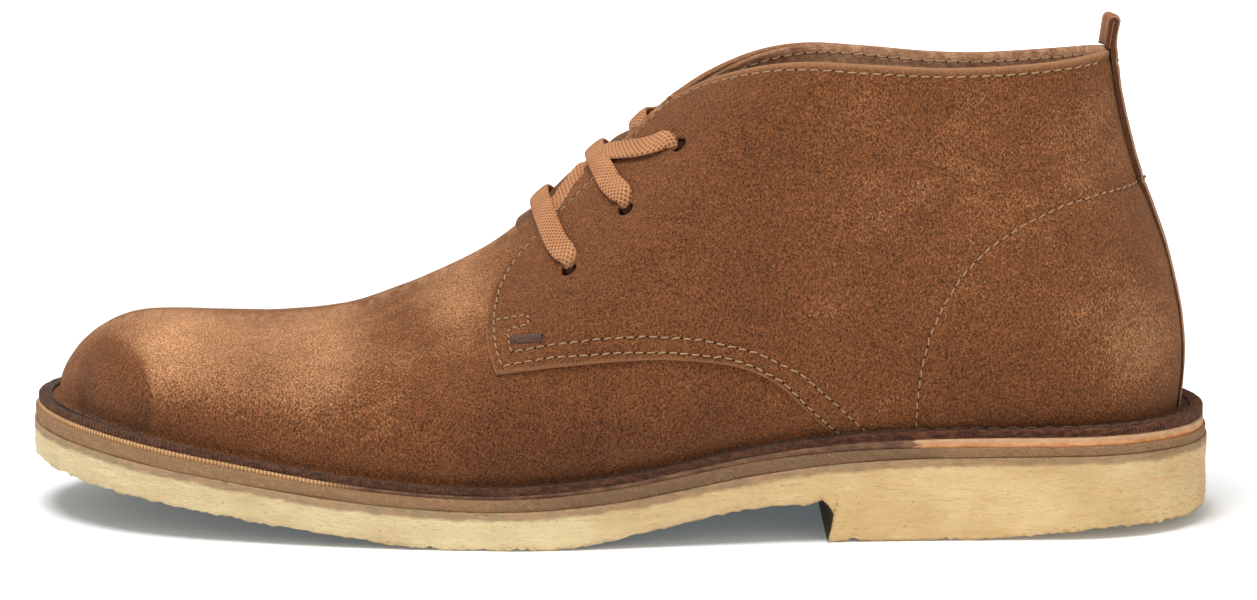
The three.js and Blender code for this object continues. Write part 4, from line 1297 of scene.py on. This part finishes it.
def bar(hole, ridge_x):
    """Lace across the throat from the inner hole to the outer hole."""
    inner = into_hole(*on_quarter(hole, ridge_x, INNER), hole, INNER)
    outer = into_hole(*on_quarter(hole, ridge_x, OUTER), hole, OUTER)
    points = np.concatenate([inner[0], outer[0][:-1][::-1]])
    normals = np.concatenate([inner[1], outer[1][:-1][::-1]])
    return points, normals


def under_lining(places, side, depth=2.15):
    """Lace held between the lining and the tongue, at places of the side view."""
    x, z = np.array(places, float).T
    normals = skin_normal(x, z, np.full(x.shape, side))
    return skin(x, z, side) - normals * depth, normals


def lace_low_route():
    """First lace: over the lowest holes, inside, over the tongue, and to the outer top hole."""
    points, normals = bar(0, -18.8)
    inside = under_lining(((-12.6, 68.5), (-14.6, 73.0)), OUTER)
    tongue = np.array([(-16.6, -9.4, 77.6), (-14.2, -6.3, 80.6), (-11.5, -2.6, 83.9), (-8.6, 1.0, 87.0)])
    up = unit(ridge_normal(tongue[:, 0]) + (0.0, -0.9, 0.0))
    to_hole = into_hole(*on_quarter(2, -5.2, OUTER, RUN_DROP), 2, OUTER)
    turn = np.array([(-6.6, 2.2, 88.9)])
    points = np.concatenate([points[:-1], inside[0], tongue, turn, to_hole[0][::-1]])
    normals = np.concatenate([normals[:-1], inside[1], up, ridge_normal(turn[:, 0]), to_hole[1][::-1]])
    return points, normals


def lace_high_route():
    """Second lace: over the middle holes, inside, out of the throat, and to the inner top hole."""
    points, normals = bar(1, -4.8)
    inside = under_lining(((2.6, 83.5), (3.4, 89.0)), OUTER)
    tongue = np.array([(2.0, -3.0, 90.8)])
    to_hole = into_hole(*on_quarter(2, 4.0, INNER, 6.5), 2, INNER)
    points = np.concatenate([points[:-1], inside[0], tongue, to_hole[0][::-1]])
    normals = np.concatenate([normals[:-1], inside[1], ridge_normal(tongue[:, 0]), to_hole[1][::-1]])
    return points, normals


def lace_sweep(sheet, points, hints):
    """Flat woven lace along a route, narrower where it bends through a hole."""
    both = np.concatenate([points, hints], axis=1)
    last = len(points) - 1
    t = np.linspace(0, last, last * 14 + 1)
    i = np.minimum(t.astype(int), last - 1)
    w = (t - i)[:, None]
    p0, p1 = both[np.maximum(i - 1, 0)], both[i]
    p2, p3 = both[i + 1], both[np.minimum(i + 2, last)]
    near, far = np.linalg.norm((p1 - p0)[:, :3], axis=-1), np.linalg.norm((p3 - p2)[:, :3], axis=-1)
    span = np.linalg.norm((p2 - p1)[:, :3], axis=-1)
    s1 = (p2 - p0) * (span / np.maximum(near + span, 1e-6))[:, None]
    s2 = (p3 - p1) * (span / np.maximum(far + span, 1e-6))[:, None]
    curve = (2 * p1 - 2 * p2 + s1 + s2) * w**3 + (3 * p2 - 3 * p1 - 2 * s1 - s2) * w**2 + s1 * w + p1
    run = along_rows(curve[:, :3])
    places = np.arange(0, run[-1], 0.45)
    curve = np.stack([np.interp(places, run, curve[:, k]) for k in range(6)], -1)
    path = curve[:, :3]
    ahead = unit(np.gradient(path, axis=0))
    normal = unit(curve[:, 3:] - ahead * np.sum(curve[:, 3:] * ahead, -1, keepdims=True))
    across = np.cross(ahead, normal)
    holes = [skin(x, z, side) for side in (OUTER, INNER) for x, z in zip(LACE_HOLES["x"], LACE_HOLES["z"])]
    nearest = np.min([np.linalg.norm(path - hole, axis=-1) for hole in holes], axis=0)
    wide = lerp(3.3, LACE_WIDE, ease((nearest - 1.0) / 5.0))
    turn = np.linspace(0, 2 * np.pi, 25)[:-1]
    c, s = np.cos(turn), np.sin(turn)
    flat_x = np.sign(c) * np.abs(c) ** 0.7
    flat_y = np.sign(s) * np.abs(s) ** 0.8
    cup = 0.5 * (LACE_WIDE - wide)
    ring = across[:, None] * (flat_x[None] * wide[:, None] / 2)[..., None]
    lift = flat_y[None] * LACE_THICK / 2 - cup[:, None] * flat_x[None] ** 2 * 0.4
    ring = ring + normal[:, None] * lift[..., None]
    grid = path[:, None] + ring
    along = places[:, None] + 0 * flat_x[None]
    side = flat_x[None] * wide[:, None] / 2
    sheet.grid(grid, closed=True, along=along, across=side)
    for row, flip in ((0, True), (-1, False)):
        ends = np.stack([grid[row], np.broadcast_to(grid[row].mean(0), grid[row].shape)])
        sheet.grid(ends, closed=True, flip=not flip, along=along[row][None], across=side[row][None])


def lace():
    sheet = Sheet("along", "across")
    lace_sweep(sheet, *lace_low_route())
    lace_sweep(sheet, *lace_high_route())
    return sheet


# ------------------------------------------------------------------ materials


def srgb(red, green, blue):
    """Colour from display values of 0 to 255."""
    share = np.array([red, green, blue]) / 255
    linear = np.where(share <= 0.04045, share / 12.92, ((share + 0.055) / 1.055) ** 2.4)
    return (*[float(v) for v in linear], 1.0)


class Nodes:
    """Short hand for building a material's nodes."""

    def __init__(self, name):
        self.material = bpy.data.materials.new(name)
        self.material.use_nodes = True
        self.tree = self.material.node_tree
        self.shader = self.tree.nodes["Principled BSDF"]

    def add(self, kind, inputs=None, **settings):
        node = self.tree.nodes.new(kind)
        for key, value in settings.items():
            setattr(node, key, value)
        for key, value in (inputs or {}).items():
            self.set(node.inputs[key], value)
        return node

    def set(self, socket, value):
        if isinstance(value, bpy.types.NodeSocket):
            self.tree.links.new(value, socket)
        else:
            socket.default_value = value

    def places(self, scale=(1, 1, 1), turn=(0, 0, 0)):
        """Object places in millimetres, stretched by a scale."""
        where = self.add("ShaderNodeTexCoord").outputs["Object"]
        size = tuple(1000 * s for s in scale)
        mapping = self.add("ShaderNodeMapping", {"Vector": where, "Rotation": turn, "Scale": size})
        return mapping.outputs["Vector"]

    def noise(self, size, places=None, detail=3.0, rough=0.55, twist=0.0):
        inputs = {
            "Vector": places or self.places(), "Scale": 1 / size, "Detail": detail, "Roughness": rough,
            "Distortion": twist,
        }
        return self.add("ShaderNodeTexNoise", inputs).outputs["Fac"]

    def value(self, name):
        return self.add("ShaderNodeAttribute", attribute_name=name).outputs["Fac"]

    def math(self, operation, a, b=0.0, c=0.0, clamp=False):
        node = self.add("ShaderNodeMath", operation=operation, use_clamp=clamp)
        for socket, value in zip(node.inputs, (a, b, c)):
            self.set(socket, value)
        return node.outputs[0]

    def spread(self, value, low, high, kind="SMOOTHSTEP"):
        """Stretches the values between low and high to the range 0 to 1."""
        inputs = {"Value": value, "From Min": low, "From Max": high}
        node = self.add("ShaderNodeMapRange", inputs, interpolation_type=kind)
        return node.outputs["Result"]

    def mix(self, share, a, b, blend="MIX"):
        node = self.add("ShaderNodeMix", data_type="RGBA", blend_type=blend)
        self.set(node.inputs["Factor"], share)
        colours = [socket for socket in node.inputs if socket.type == "RGBA"]
        self.set(colours[0], a)
        self.set(colours[1], b)
        return next(socket for socket in node.outputs if socket.type == "RGBA")

    def bump(self, height, distance, strength=1.0, normal=None):
        """Relief whose height of 1 stands a distance in millimetres proud."""
        inputs = {"Height": height, "Strength": strength, "Distance": distance * 0.001}
        if normal:
            inputs["Normal"] = normal
        return self.add("ShaderNodeBump", inputs).outputs["Normal"]

    def finish(self, colour, normal=None, **inputs):
        self.set(self.shader.inputs["Base Color"], colour)
        if normal:
            self.set(self.shader.inputs["Normal"], normal)
        for key, value in inputs.items():
            self.set(self.shader.inputs[key.replace("_", " ")], value)
        return self.material


SUEDE_DARK = srgb(62, 33, 19)
SUEDE_MID = srgb(126, 76, 42)
SUEDE_LIGHT = srgb(230, 170, 120)


def suede(name, dark=SUEDE_DARK, mid=SUEDE_MID, light=SUEDE_LIGHT, rim=srgb(194, 142, 102)):
    """Napped leather: brushed light and dark places, fine fibres, tone patches that carry painted highlights and
    painted shade, and pale cut edges.
    """
    n = Nodes(name)
    flat = n.places()
    brushed = n.places((0.75, 0.75, 1.2), (0.0, 0.5, 0.0))
    broad = n.noise(26, flat, 2.0, 0.5, 0.6)
    patches = n.noise(7.5, brushed, 4.0, 0.6, 0.8)
    fibres = n.noise(0.45, n.places((1.0, 1.0, 0.7), (0.0, 0.6, 0.0)), 3.0, 0.7)
    flecks = n.noise(0.3, flat, 2.0, 0.6)
    # the tone attribute carries brushed nap with painted highlights and painted shade
    tone = n.math("ADD", n.value("tone"), n.math("MULTIPLY_ADD", broad, 0.7, -0.35))
    tone = n.math("ADD", tone, n.math("MULTIPLY_ADD", patches, 0.75, -0.375))
    tone = n.math("ADD", tone, n.math("MULTIPLY_ADD", fibres, 1.4, -0.7))
    grain = n.math("ADD", n.math("MULTIPLY_ADD", fibres, 4.1, -1.05), n.math("MULTIPLY_ADD", flecks, 2.8, -1.4))
    grain = n.math("MAXIMUM", grain, 0.25)
    colour = n.mix(n.spread(tone, -1.7, 0.0, "LINEAR"), dark, mid)
    colour = n.mix(n.spread(tone, 0.0, 1.7, "LINEAR"), colour, light)
    colour = n.mix(1.0, colour, grain, "MULTIPLY")
    lining = n.mix(n.spread(n.noise(2.2, flat), 0.3, 0.7), srgb(180, 130, 97), srgb(224, 174, 135))
    colour = n.mix(n.value("inside"), colour, lining)
    colour = n.mix(n.math("MULTIPLY", n.value("edge"), 0.75), colour, rim)
    normal = n.bump(n.noise(0.6, n.places((1, 1, 0.7)), 4.0, 0.7), 0.7)
    normal = n.bump(patches, 0.5, normal=normal)
    return n.finish(
        colour, normal, Roughness=0.95, Sheen_Weight=0.2, Sheen_Roughness=0.5,
        Sheen_Tint=srgb(236, 190, 150), Specular_IOR_Level=0.18,
    )


def upper_material():
    """The suede of the shell, with the stained ribbed edge of its turned-out part."""
    material = suede("vamp_suede")
    tree = material.node_tree
    n = Nodes.__new__(Nodes)
    n.material, n.tree, n.shader = material, tree, tree.nodes["Principled BSDF"]
    base = n.shader.inputs["Base Color"].links[0].from_socket
    stain = n.noise(2.4, n.places((1, 1, 2.5)), 4.0, 0.65)
    x = n.add("ShaderNodeSeparateXYZ", {"Vector": n.places()}).outputs["X"]
    heel = n.spread(x, 20, 80)
    toe_ledge = n.mix(n.spread(stain, 0.3, 0.7), srgb(58, 42, 37), srgb(98, 74, 64))
    heel_ledge = n.mix(n.spread(stain, 0.35, 0.72), srgb(60, 31, 22), srgb(122, 74, 50))
    colour = n.mix(n.value("flange"), base, n.mix(heel, toe_ledge, heel_ledge))
    toe_edge = n.mix(n.spread(stain, 0.35, 0.65), srgb(70, 44, 34), srgb(114, 72, 52))
    heel_edge = n.mix(n.spread(stain, 0.35, 0.7), srgb(62, 32, 24), srgb(122, 72, 50))
    edge = n.mix(heel, toe_edge, heel_edge)
    colour = n.mix(n.value("trim"), colour, edge)
    n.set(n.shader.inputs["Base Color"], colour)
    ribs = n.math("SINE", n.math("MULTIPLY", n.value("along"), 2 * math.pi / 1.15))
    ribs = n.math("MULTIPLY", ribs, n.value("trim"))
    old = n.shader.inputs["Normal"].links[0].from_socket
    n.set(n.shader.inputs["Normal"], n.bump(ribs, 0.22, normal=old))
    return material


def crepe_rubber():
    """Natural crepe: pale yellow, streaked and specked, with a stained glue line along its top, and painted shade on
    the tread ahead of the heel.
    """
    n = Nodes("crepe_rubber")
    flat = n.places()
    streaks = n.noise(2.2, n.places((0.16, 0.16, 1.6)), 4.0, 0.62, 1.2)
    broad = n.noise(22, flat, 3.0, 0.5)
    specks = n.noise(0.8, flat, 2.0, 0.5)
    x = n.add("ShaderNodeSeparateXYZ", {"Vector": flat}).outputs["X"]
    toe = n.mix(n.spread(broad, 0.3, 0.7), srgb(234, 214, 168), srgb(218, 192, 144))
    heel = n.mix(n.spread(broad, 0.3, 0.7), srgb(233, 204, 150), srgb(217, 181, 126))
    colour = n.mix(n.spread(x, -60, 60), toe, heel)
    amber = n.math("MULTIPLY", n.spread(streaks, 0.53, 0.74), n.spread(x, 40, 95))
    colour = n.mix(n.math("MULTIPLY", amber, 0.6), colour, srgb(222, 160, 92))
    colour = n.mix(n.math("MULTIPLY", n.spread(specks, 0.7, 0.76), 0.7), colour, srgb(160, 104, 60))
    # painted shade: the tread ahead of the heel is darkened to grey, where shade falls under the arch and forefoot
    colour = n.mix(n.math("MULTIPLY", n.value("under"), n.spread(x, 75, 50)), colour, srgb(128, 118, 100))
    # darker in a ragged band along the bottom of the side
    near_floor = n.spread(n.math("ADD", n.value("foot"), n.math("MULTIPLY", n.noise(1.8, flat), 2.2)), 2.3, 0.7)
    colour = n.mix(n.math("MULTIPLY", near_floor, 0.35), colour, srgb(150, 122, 88))
    ragged = n.math("MULTIPLY_ADD", n.noise(4.0, n.places((0.5, 0.5, 1.2)), 5.0, 0.72), 2.6, -1.3)
    below = n.math("SUBTRACT", n.value("depth"), ragged)
    glue = n.spread(below, 2.6, 1.4)
    tint = n.mix(n.spread(n.noise(3.0, flat), 0.35, 0.65), srgb(170, 130, 94), srgb(146, 120, 88))
    colour = n.mix(n.math("MULTIPLY", glue, 0.85), colour, tint)
    cells = n.add("ShaderNodeTexVoronoi", {"Vector": n.places((0.6, 0.6, 1.4)), "Scale": 0.9})
    normal = n.bump(cells.outputs["Distance"], 0.45)
    normal = n.bump(streaks, 0.35, normal=normal)
    normal = n.bump(n.noise(0.5, flat, 3.0, 0.6), 0.25, normal=normal)
    return n.finish(
        colour, normal, Roughness=0.72, Specular_IOR_Level=0.3, Subsurface_Weight=0.06,
        Subsurface_Radius=(0.004, 0.0025, 0.0012),
    )


def board():
    """Edge of the leather board under the welt: grey-tan, darker at the waist, finely hatched."""
    n = Nodes("midsole_board")
    x = n.add("ShaderNodeSeparateXYZ", {"Vector": n.places()}).outputs["X"]
    waist = n.math("MULTIPLY", n.spread(x, -40, -5), n.spread(x, 88, 70))
    stain = n.noise(3.0, n.places((0.5, 0.5, 1.4)), 4.0, 0.65)
    colour = n.mix(n.spread(stain, 0.3, 0.72), srgb(158, 120, 86), srgb(206, 162, 118))
    dark = n.mix(n.spread(stain, 0.3, 0.7), srgb(128, 98, 72), srgb(176, 138, 102))
    colour = n.mix(waist, colour, dark)
    line = n.math("MULTIPLY", n.spread(n.value("rise"), 0.2, 0.05), n.spread(x, -10, 60))
    colour = n.mix(n.math("MULTIPLY", line, 0.5), colour, srgb(128, 76, 54))
    slant = n.math("ADD", n.value("along"), n.math("MULTIPLY", n.value("rise"), 2.5))
    hatch = n.math("SINE", n.math("MULTIPLY", slant, 2 * math.pi / 0.8))
    normal = n.bump(n.math("MULTIPLY", hatch, n.spread(stain, 0.3, 0.6)), 0.28)
    normal = n.bump(n.noise(0.8, n.places((1, 1, 2)), 4.0, 0.7), 0.35, normal=normal)
    return n.finish(colour, normal, Roughness=0.85, Specular_IOR_Level=0.2)


def welt_leather():
    """Edge of the welt: a golden ribbed line at the toe, stained at the waist, orange at the heel."""
    n = Nodes("welt_leather")
    x = n.add("ShaderNodeSeparateXYZ", {"Vector": n.places()}).outputs["X"]
    ragged = n.math("MULTIPLY_ADD", n.noise(2.0, n.places((0.5, 0.5, 2)), 3.0, 0.6), 8.0, -4.0)
    heel = n.spread(n.math("ADD", x, ragged), 72.5, 74.5)
    waist = n.math("MULTIPLY", n.spread(x, -76, -62), n.spread(x, 78, 76))
    ribs = n.math("MULTIPLY_ADD", n.math("SINE", n.math("MULTIPLY", n.value("along"), 2 * math.pi)), 0.5, 0.5)
    golden = n.mix(ribs, srgb(176, 124, 78), srgb(236, 190, 134))
    stain = n.noise(2.6, n.places((0.6, 0.6, 1.5)), 4.0, 0.65)
    colour = n.mix(waist, golden, n.mix(n.spread(stain, 0.3, 0.7), srgb(92, 62, 46), srgb(140, 102, 74)))
    orange = n.mix(n.spread(stain, 0.3, 0.7), srgb(206, 134, 80), srgb(240, 178, 124))
    rough_top = n.spread(n.math("ADD", n.value("rise"), n.math("MULTIPLY", stain, 0.3)), 0.62, 0.8)
    orange = n.mix(rough_top, orange, n.mix(stain, srgb(170, 120, 82), srgb(232, 190, 146)))
    colour = n.mix(heel, colour, orange)
    normal = n.bump(n.math("MULTIPLY", ribs, n.spread(x, 0, -30)), 0.35)
    normal = n.bump(n.noise(0.9, n.places((1, 1, 1.6)), 4.0, 0.7), 0.3, normal=normal)
    return n.finish(colour, normal, Roughness=0.7, Specular_IOR_Level=0.3)


def insole_leather():
    n = Nodes("insole_leather")
    patchy_tone = n.noise(16, n.places(), 4.0, 0.6)
    colour = n.mix(n.spread(patchy_tone, 0.3, 0.7), srgb(104, 74, 54), srgb(142, 106, 80))
    pores = n.noise(0.6, n.places(), 3.0, 0.6)
    colour = n.mix(n.math("MULTIPLY", n.spread(pores, 0.6, 0.75), 0.4), colour, srgb(78, 52, 38))
    return n.finish(colour, n.bump(pores, 0.2), Roughness=0.7, Specular_IOR_Level=0.3)


def tongue_suede():
    n = Nodes("tongue_suede")
    nap = n.noise(1.0, n.places(), 4.0, 0.7)
    broad = n.noise(9, n.places(), 3.0, 0.55)
    colour = n.mix(n.spread(nap, 0.25, 0.75), srgb(78, 50, 35), srgb(142, 100, 72))
    colour = n.mix(n.math("MULTIPLY", n.spread(broad, 0.4, 0.7), 0.4), colour, srgb(122, 84, 60))
    normal = n.bump(nap, 0.6)
    return n.finish(colour, normal, Roughness=0.95, Sheen_Weight=0.05, Sheen_Roughness=0.5, Specular_IOR_Level=0.15)


def strap_suede():
    n = Nodes("strap_suede")
    nap = n.noise(0.8, n.places((1, 1, 0.6)), 4.0, 0.7)
    broad = n.noise(10, n.places(), 3.0, 0.55)
    colour = n.mix(n.spread(nap, 0.25, 0.75), srgb(108, 68, 44), srgb(178, 122, 84))
    colour = n.mix(n.math("MULTIPLY", n.spread(broad, 0.45, 0.7), 0.5), colour, srgb(172, 120, 82))
    colour = n.mix(n.math("MULTIPLY", n.value("line"), 0.7), colour, srgb(204, 158, 116))
    return n.finish(colour, n.bump(nap, 0.4), Roughness=0.95, Sheen_Weight=0.05, Specular_IOR_Level=0.12)


def dark_cut():
    n = Nodes("strap_cut_edge")
    fibre = n.noise(0.6, n.places((1, 1, 2)), 4.0, 0.7)
    colour = n.mix(n.spread(fibre, 0.3, 0.7), srgb(66, 38, 26), srgb(120, 76, 52))
    return n.finish(colour, n.bump(fibre, 0.4), Roughness=0.9, Specular_IOR_Level=0.15)


def thread(name, light, dark):
    n = Nodes(name)
    twist = n.noise(0.25, n.places((1, 1, 1.5)), 2.0, 0.6)
    colour = n.mix(n.spread(twist, 0.3, 0.7), light, dark)
    return n.finish(colour, n.bump(twist, 0.12), Roughness=0.9, Specular_IOR_Level=0.1)


def painted_hole_shade():
    # painted shade for the needle holes and for the dark insides of the lace holes
    n = Nodes("painted_hole_shade")
    shade = n.noise(0.4, n.places(), 2.0, 0.5)
    colour = n.mix(shade, srgb(36, 22, 15), srgb(60, 36, 24))
    return n.finish(colour, n.bump(shade, 0.1), Roughness=1.0, Specular_IOR_Level=0.05)


def lace_cotton():
    """Flat braid: two sets of strands that cross under and over, with painted shade in the dips between them."""
    n = Nodes("lace_cotton")
    along, across = n.value("along"), n.value("across")
    pitch = 2 * math.pi / 1.5
    left = n.math("SINE", n.math("MULTIPLY", n.math("MULTIPLY_ADD", across, 1.1, along), pitch))
    right = n.math("SINE", n.math("MULTIPLY", n.math("MULTIPLY_ADD", across, -1.1, along), pitch))
    weave = n.math("MULTIPLY_ADD", n.math("MAXIMUM", left, right), 0.5, 0.5)
    fuzz = n.noise(0.4, n.places(), 3.0, 0.6)
    patchy_tone = n.noise(6, n.places(), 3.0, 0.5)
    # the braid's pattern, with painted shade where the weave dips between strands
    colour = n.mix(n.spread(weave, 0.1, 0.95), srgb(122, 74, 46), srgb(199, 138, 94))
    colour = n.mix(n.math("MULTIPLY", n.spread(patchy_tone, 0.4, 0.7), 0.35), colour, srgb(206, 154, 110))
    colour = n.mix(n.math("MULTIPLY", n.spread(fuzz, 0.5, 0.8), 0.3), colour, srgb(166, 112, 72))
    normal = n.bump(weave, 0.34)
    normal = n.bump(fuzz, 0.1, normal=normal)
    return n.finish(colour, normal, Roughness=0.9, Sheen_Weight=0.05, Specular_IOR_Level=0.12)


# Brushed nap and wear, with painted highlights on the top and painted shade low on the sides, of the upper's outer
# side: x, z, radius, and lighter or darker.
VAMP_TONES = (
    (-102, 47, 13, 0.62), (-113, 41, 8, 0.45), (-118, 53, 12, 0.70), (-80, 47, 15, 0.60), (-71, 44, 8, 0.35),
    (-40, 59, 11, 0.62), (-112, 24, 13, -0.55), (-84, 30, 13, -0.20), (-60, 20, 18, -0.20), (-132, 24, 10, -0.4),
    (-44, 40, 15, -0.20), (0, 22, 28, -0.55), (-25, 20, 22, -0.45), (30, 30, 18, -0.40), (-60, 38, 16, 0.15),
)
# Lighter and darker nap of the quarters, with painted highlights and painted shade as on the vamp: x, z, radius, and
# lighter or darker.
QUARTER_TONES = (
    (-10, 58, 24, -0.15), (30, 70, 30, -0.22), (20, 98, 16, -0.10), (70, 92, 30, 0.05), (112, 98, 18, 0.10),
    (120, 52, 16, 0.25), (100, 45, 24, -0.15), (92, 30, 20, -0.25), (134, 46, 10, 0.45), (40, 50, 14, -0.15),
)


def set_tone(piece, rows, base=0.0):
    """Writes how light or dark the nap is at each point, with painted highlights on the top and painted shade low down
    and round the toe puff.
    """
    mesh = piece.data
    points = np.zeros(len(mesh.vertices) * 3)
    mesh.vertices.foreach_get("co", points)
    points = points.reshape(-1, 3) * 1000
    puff = ((np.abs(points[:, 0] + 126) / 10.5) ** 2.6 + (np.abs(points[:, 2] - 33) / 13) ** 2.6) ** (1 / 2.6)
    shade = ease((1.08 - puff) / 0.2) * (0.45 + 0.55 * ease((puff - 0.2) / 0.6))
    # brushed nap, painted highlights on the top and painted shade low down, from the spots, less on the inner side; and
    # painted shade round the toe puff
    patchy_tone = (spots(points, rows) - 0.6 * shade) * (1 - 0.5 * ease((points[:, 1] - 4) / 18))
    tone = base + patchy_tone + 0.12 * noise(points, 16, 71)
    attribute = mesh.attributes.new("tone", "FLOAT", "POINT")
    attribute.data.foreach_set("value", tone.astype(np.float32))


# ------------------------------------------------------------------ stage


def floor_material():
    n = Nodes("paper_floor")
    grain = n.noise(900, n.places(), 2.0, 0.5)
    colour = n.mix(n.math("MULTIPLY", grain, 0.02), (0.96, 0.96, 0.96, 1), (0.9, 0.9, 0.9, 1))
    away = n.add("ShaderNodeVectorMath", {0: n.places((0.001, 0.001, 0.001))}, operation="LENGTH").outputs["Value"]
    # the floor glows: brightly far off, for an even white backdrop, and faintly bluish near the boot, which is painted
    # light that lightens and cools the boot's shadow
    far = n.spread(away, 0.22, 1.1)
    glow = n.math("MULTIPLY_ADD", far, 0.7, 0.1)
    tint = n.mix(far, (0.73, 0.9, 1.0, 1), (1, 1, 1, 1))
    n.set(n.shader.inputs["Emission Color"], tint)
    n.set(n.shader.inputs["Emission Strength"], glow)
    return n.finish(colour, Roughness=1.0, Specular_IOR_Level=0.0)


def make_floor():
    half = 3.0
    mesh = bpy.data.meshes.new("floor")
    corners = [(-half, -half, 0), (half, -half, 0), (half, half, 0), (-half, half, 0)]
    mesh.from_pydata(corners, [], [(0, 1, 2, 3)])
    mesh.materials.append(floor_material())
    floor = bpy.data.objects.new("floor", mesh)
    bpy.context.scene.collection.objects.link(floor)


def area_light(name, place, target, size, power, colour=(1, 1, 1)):
    light = bpy.data.lights.new(name, "AREA")
    light.shape = "DISK"
    light.size = size
    light.energy = power
    light.color = colour
    lamp = bpy.data.objects.new(name, light)
    lamp.location = place
    lamp.rotation_euler = (Vector(target) - Vector(place)).to_track_quat("-Z", "Y").to_euler()
    bpy.context.scene.collection.objects.link(lamp)


def make_lights():
    world = bpy.data.worlds.new("studio")
    world.use_nodes = True
    world.node_tree.nodes["Background"].inputs["Color"].default_value = (1, 1, 1, 1)
    world.node_tree.nodes["Background"].inputs["Strength"].default_value = WORLD_STRENGTH
    bpy.context.scene.world = world
    area_light("key", (-0.30, -0.35, 1.50), (0.0, 0.0, 0.05), 0.8, KEY_POWER)
    area_light("fill", (0.9, -1.1, 0.6), (0.03, 0.0, 0.06), 1.0, FILL_POWER)


WORLD_STRENGTH = 0.5
KEY_POWER = 20.0
FILL_POWER = 1.5


def make_camera():
    """At the height and distance of the picture, level across and turned down to the boot."""
    data = bpy.data.cameras.new("camera")
    data.lens = 119.38
    data.sensor_width = 36.0
    data.clip_end = 20
    camera = bpy.data.objects.new("camera", data)
    camera.location = (0.0, -1.050, 0.221)
    camera.rotation_euler = (math.radians(90 - 9.064), 0.0, math.radians(-0.14))
    bpy.context.scene.collection.objects.link(camera)
    bpy.context.scene.camera = camera


# ------------------------------------------------------------------ the boot


def main():
    add_piece("crepe_outsole", crepe_outsole(), [crepe_rubber()], ["outsole"])
    add_piece("midsole_edge", midsole_edge(), [board()], ["midsole"])
    add_piece("welt_edge", welt_edge(), [welt_leather()], ["welt"])
    add_piece("insole_board", insole_board(), [insole_leather()], ["insole"])

    shell = add_piece("upper_shell", upper_shell(), [upper_material()], ["upper"])
    cut(shell, plain_piece("throat_cut", throat_cutter()))
    cut(shell, plain_piece("vamp_holes", hole_cutters()))
    set_tone(shell, VAMP_TONES)
    cloth = suede("quarter_suede")
    for side, name in ((OUTER, "quarter_outer"), (INNER, "quarter_inner")):
        piece = add_piece(name, quarter(side), [cloth], [])
        cut(piece, plain_piece("quarter_holes", hole_cutters()))
        set_tone(piece, QUARTER_TONES, -0.12)

    threads = [thread("pale_thread", srgb(196, 163, 126), srgb(146, 117, 89)), painted_hole_shade()]
    add_piece("upper_stitches", upper_stitches(), threads, [], weld=0)
    brown = [thread("brown_thread", srgb(122, 96, 84), srgb(84, 62, 54))]
    add_piece("bar_tack", bar_tack(), brown, [], weld=0)
    grey = [thread("grey_thread", srgb(116, 96, 82), srgb(66, 50, 42)), painted_hole_shade()]
    add_piece("edge_stitches", flange_stitches(), grey, [], weld=0)
    add_piece("tongue_leather", tongue_leather(), [tongue_suede()], ["tongue"])
    add_piece("pull_strap", pull_strap(), [strap_suede(), dark_cut()], ["back_strap"])
    add_piece("strap_stitches", strap_stitches(), threads, [], weld=0)
    add_piece("hole_shades", hole_shades(), [painted_hole_shade()], [], weld=0)
    add_piece("lace", lace(), [lace_cotton()], ["lace_low", "lace_high"])

    make_floor()
    make_lights()
    make_camera()
    bpy.context.scene.view_settings.view_transform = "Standard"


main()
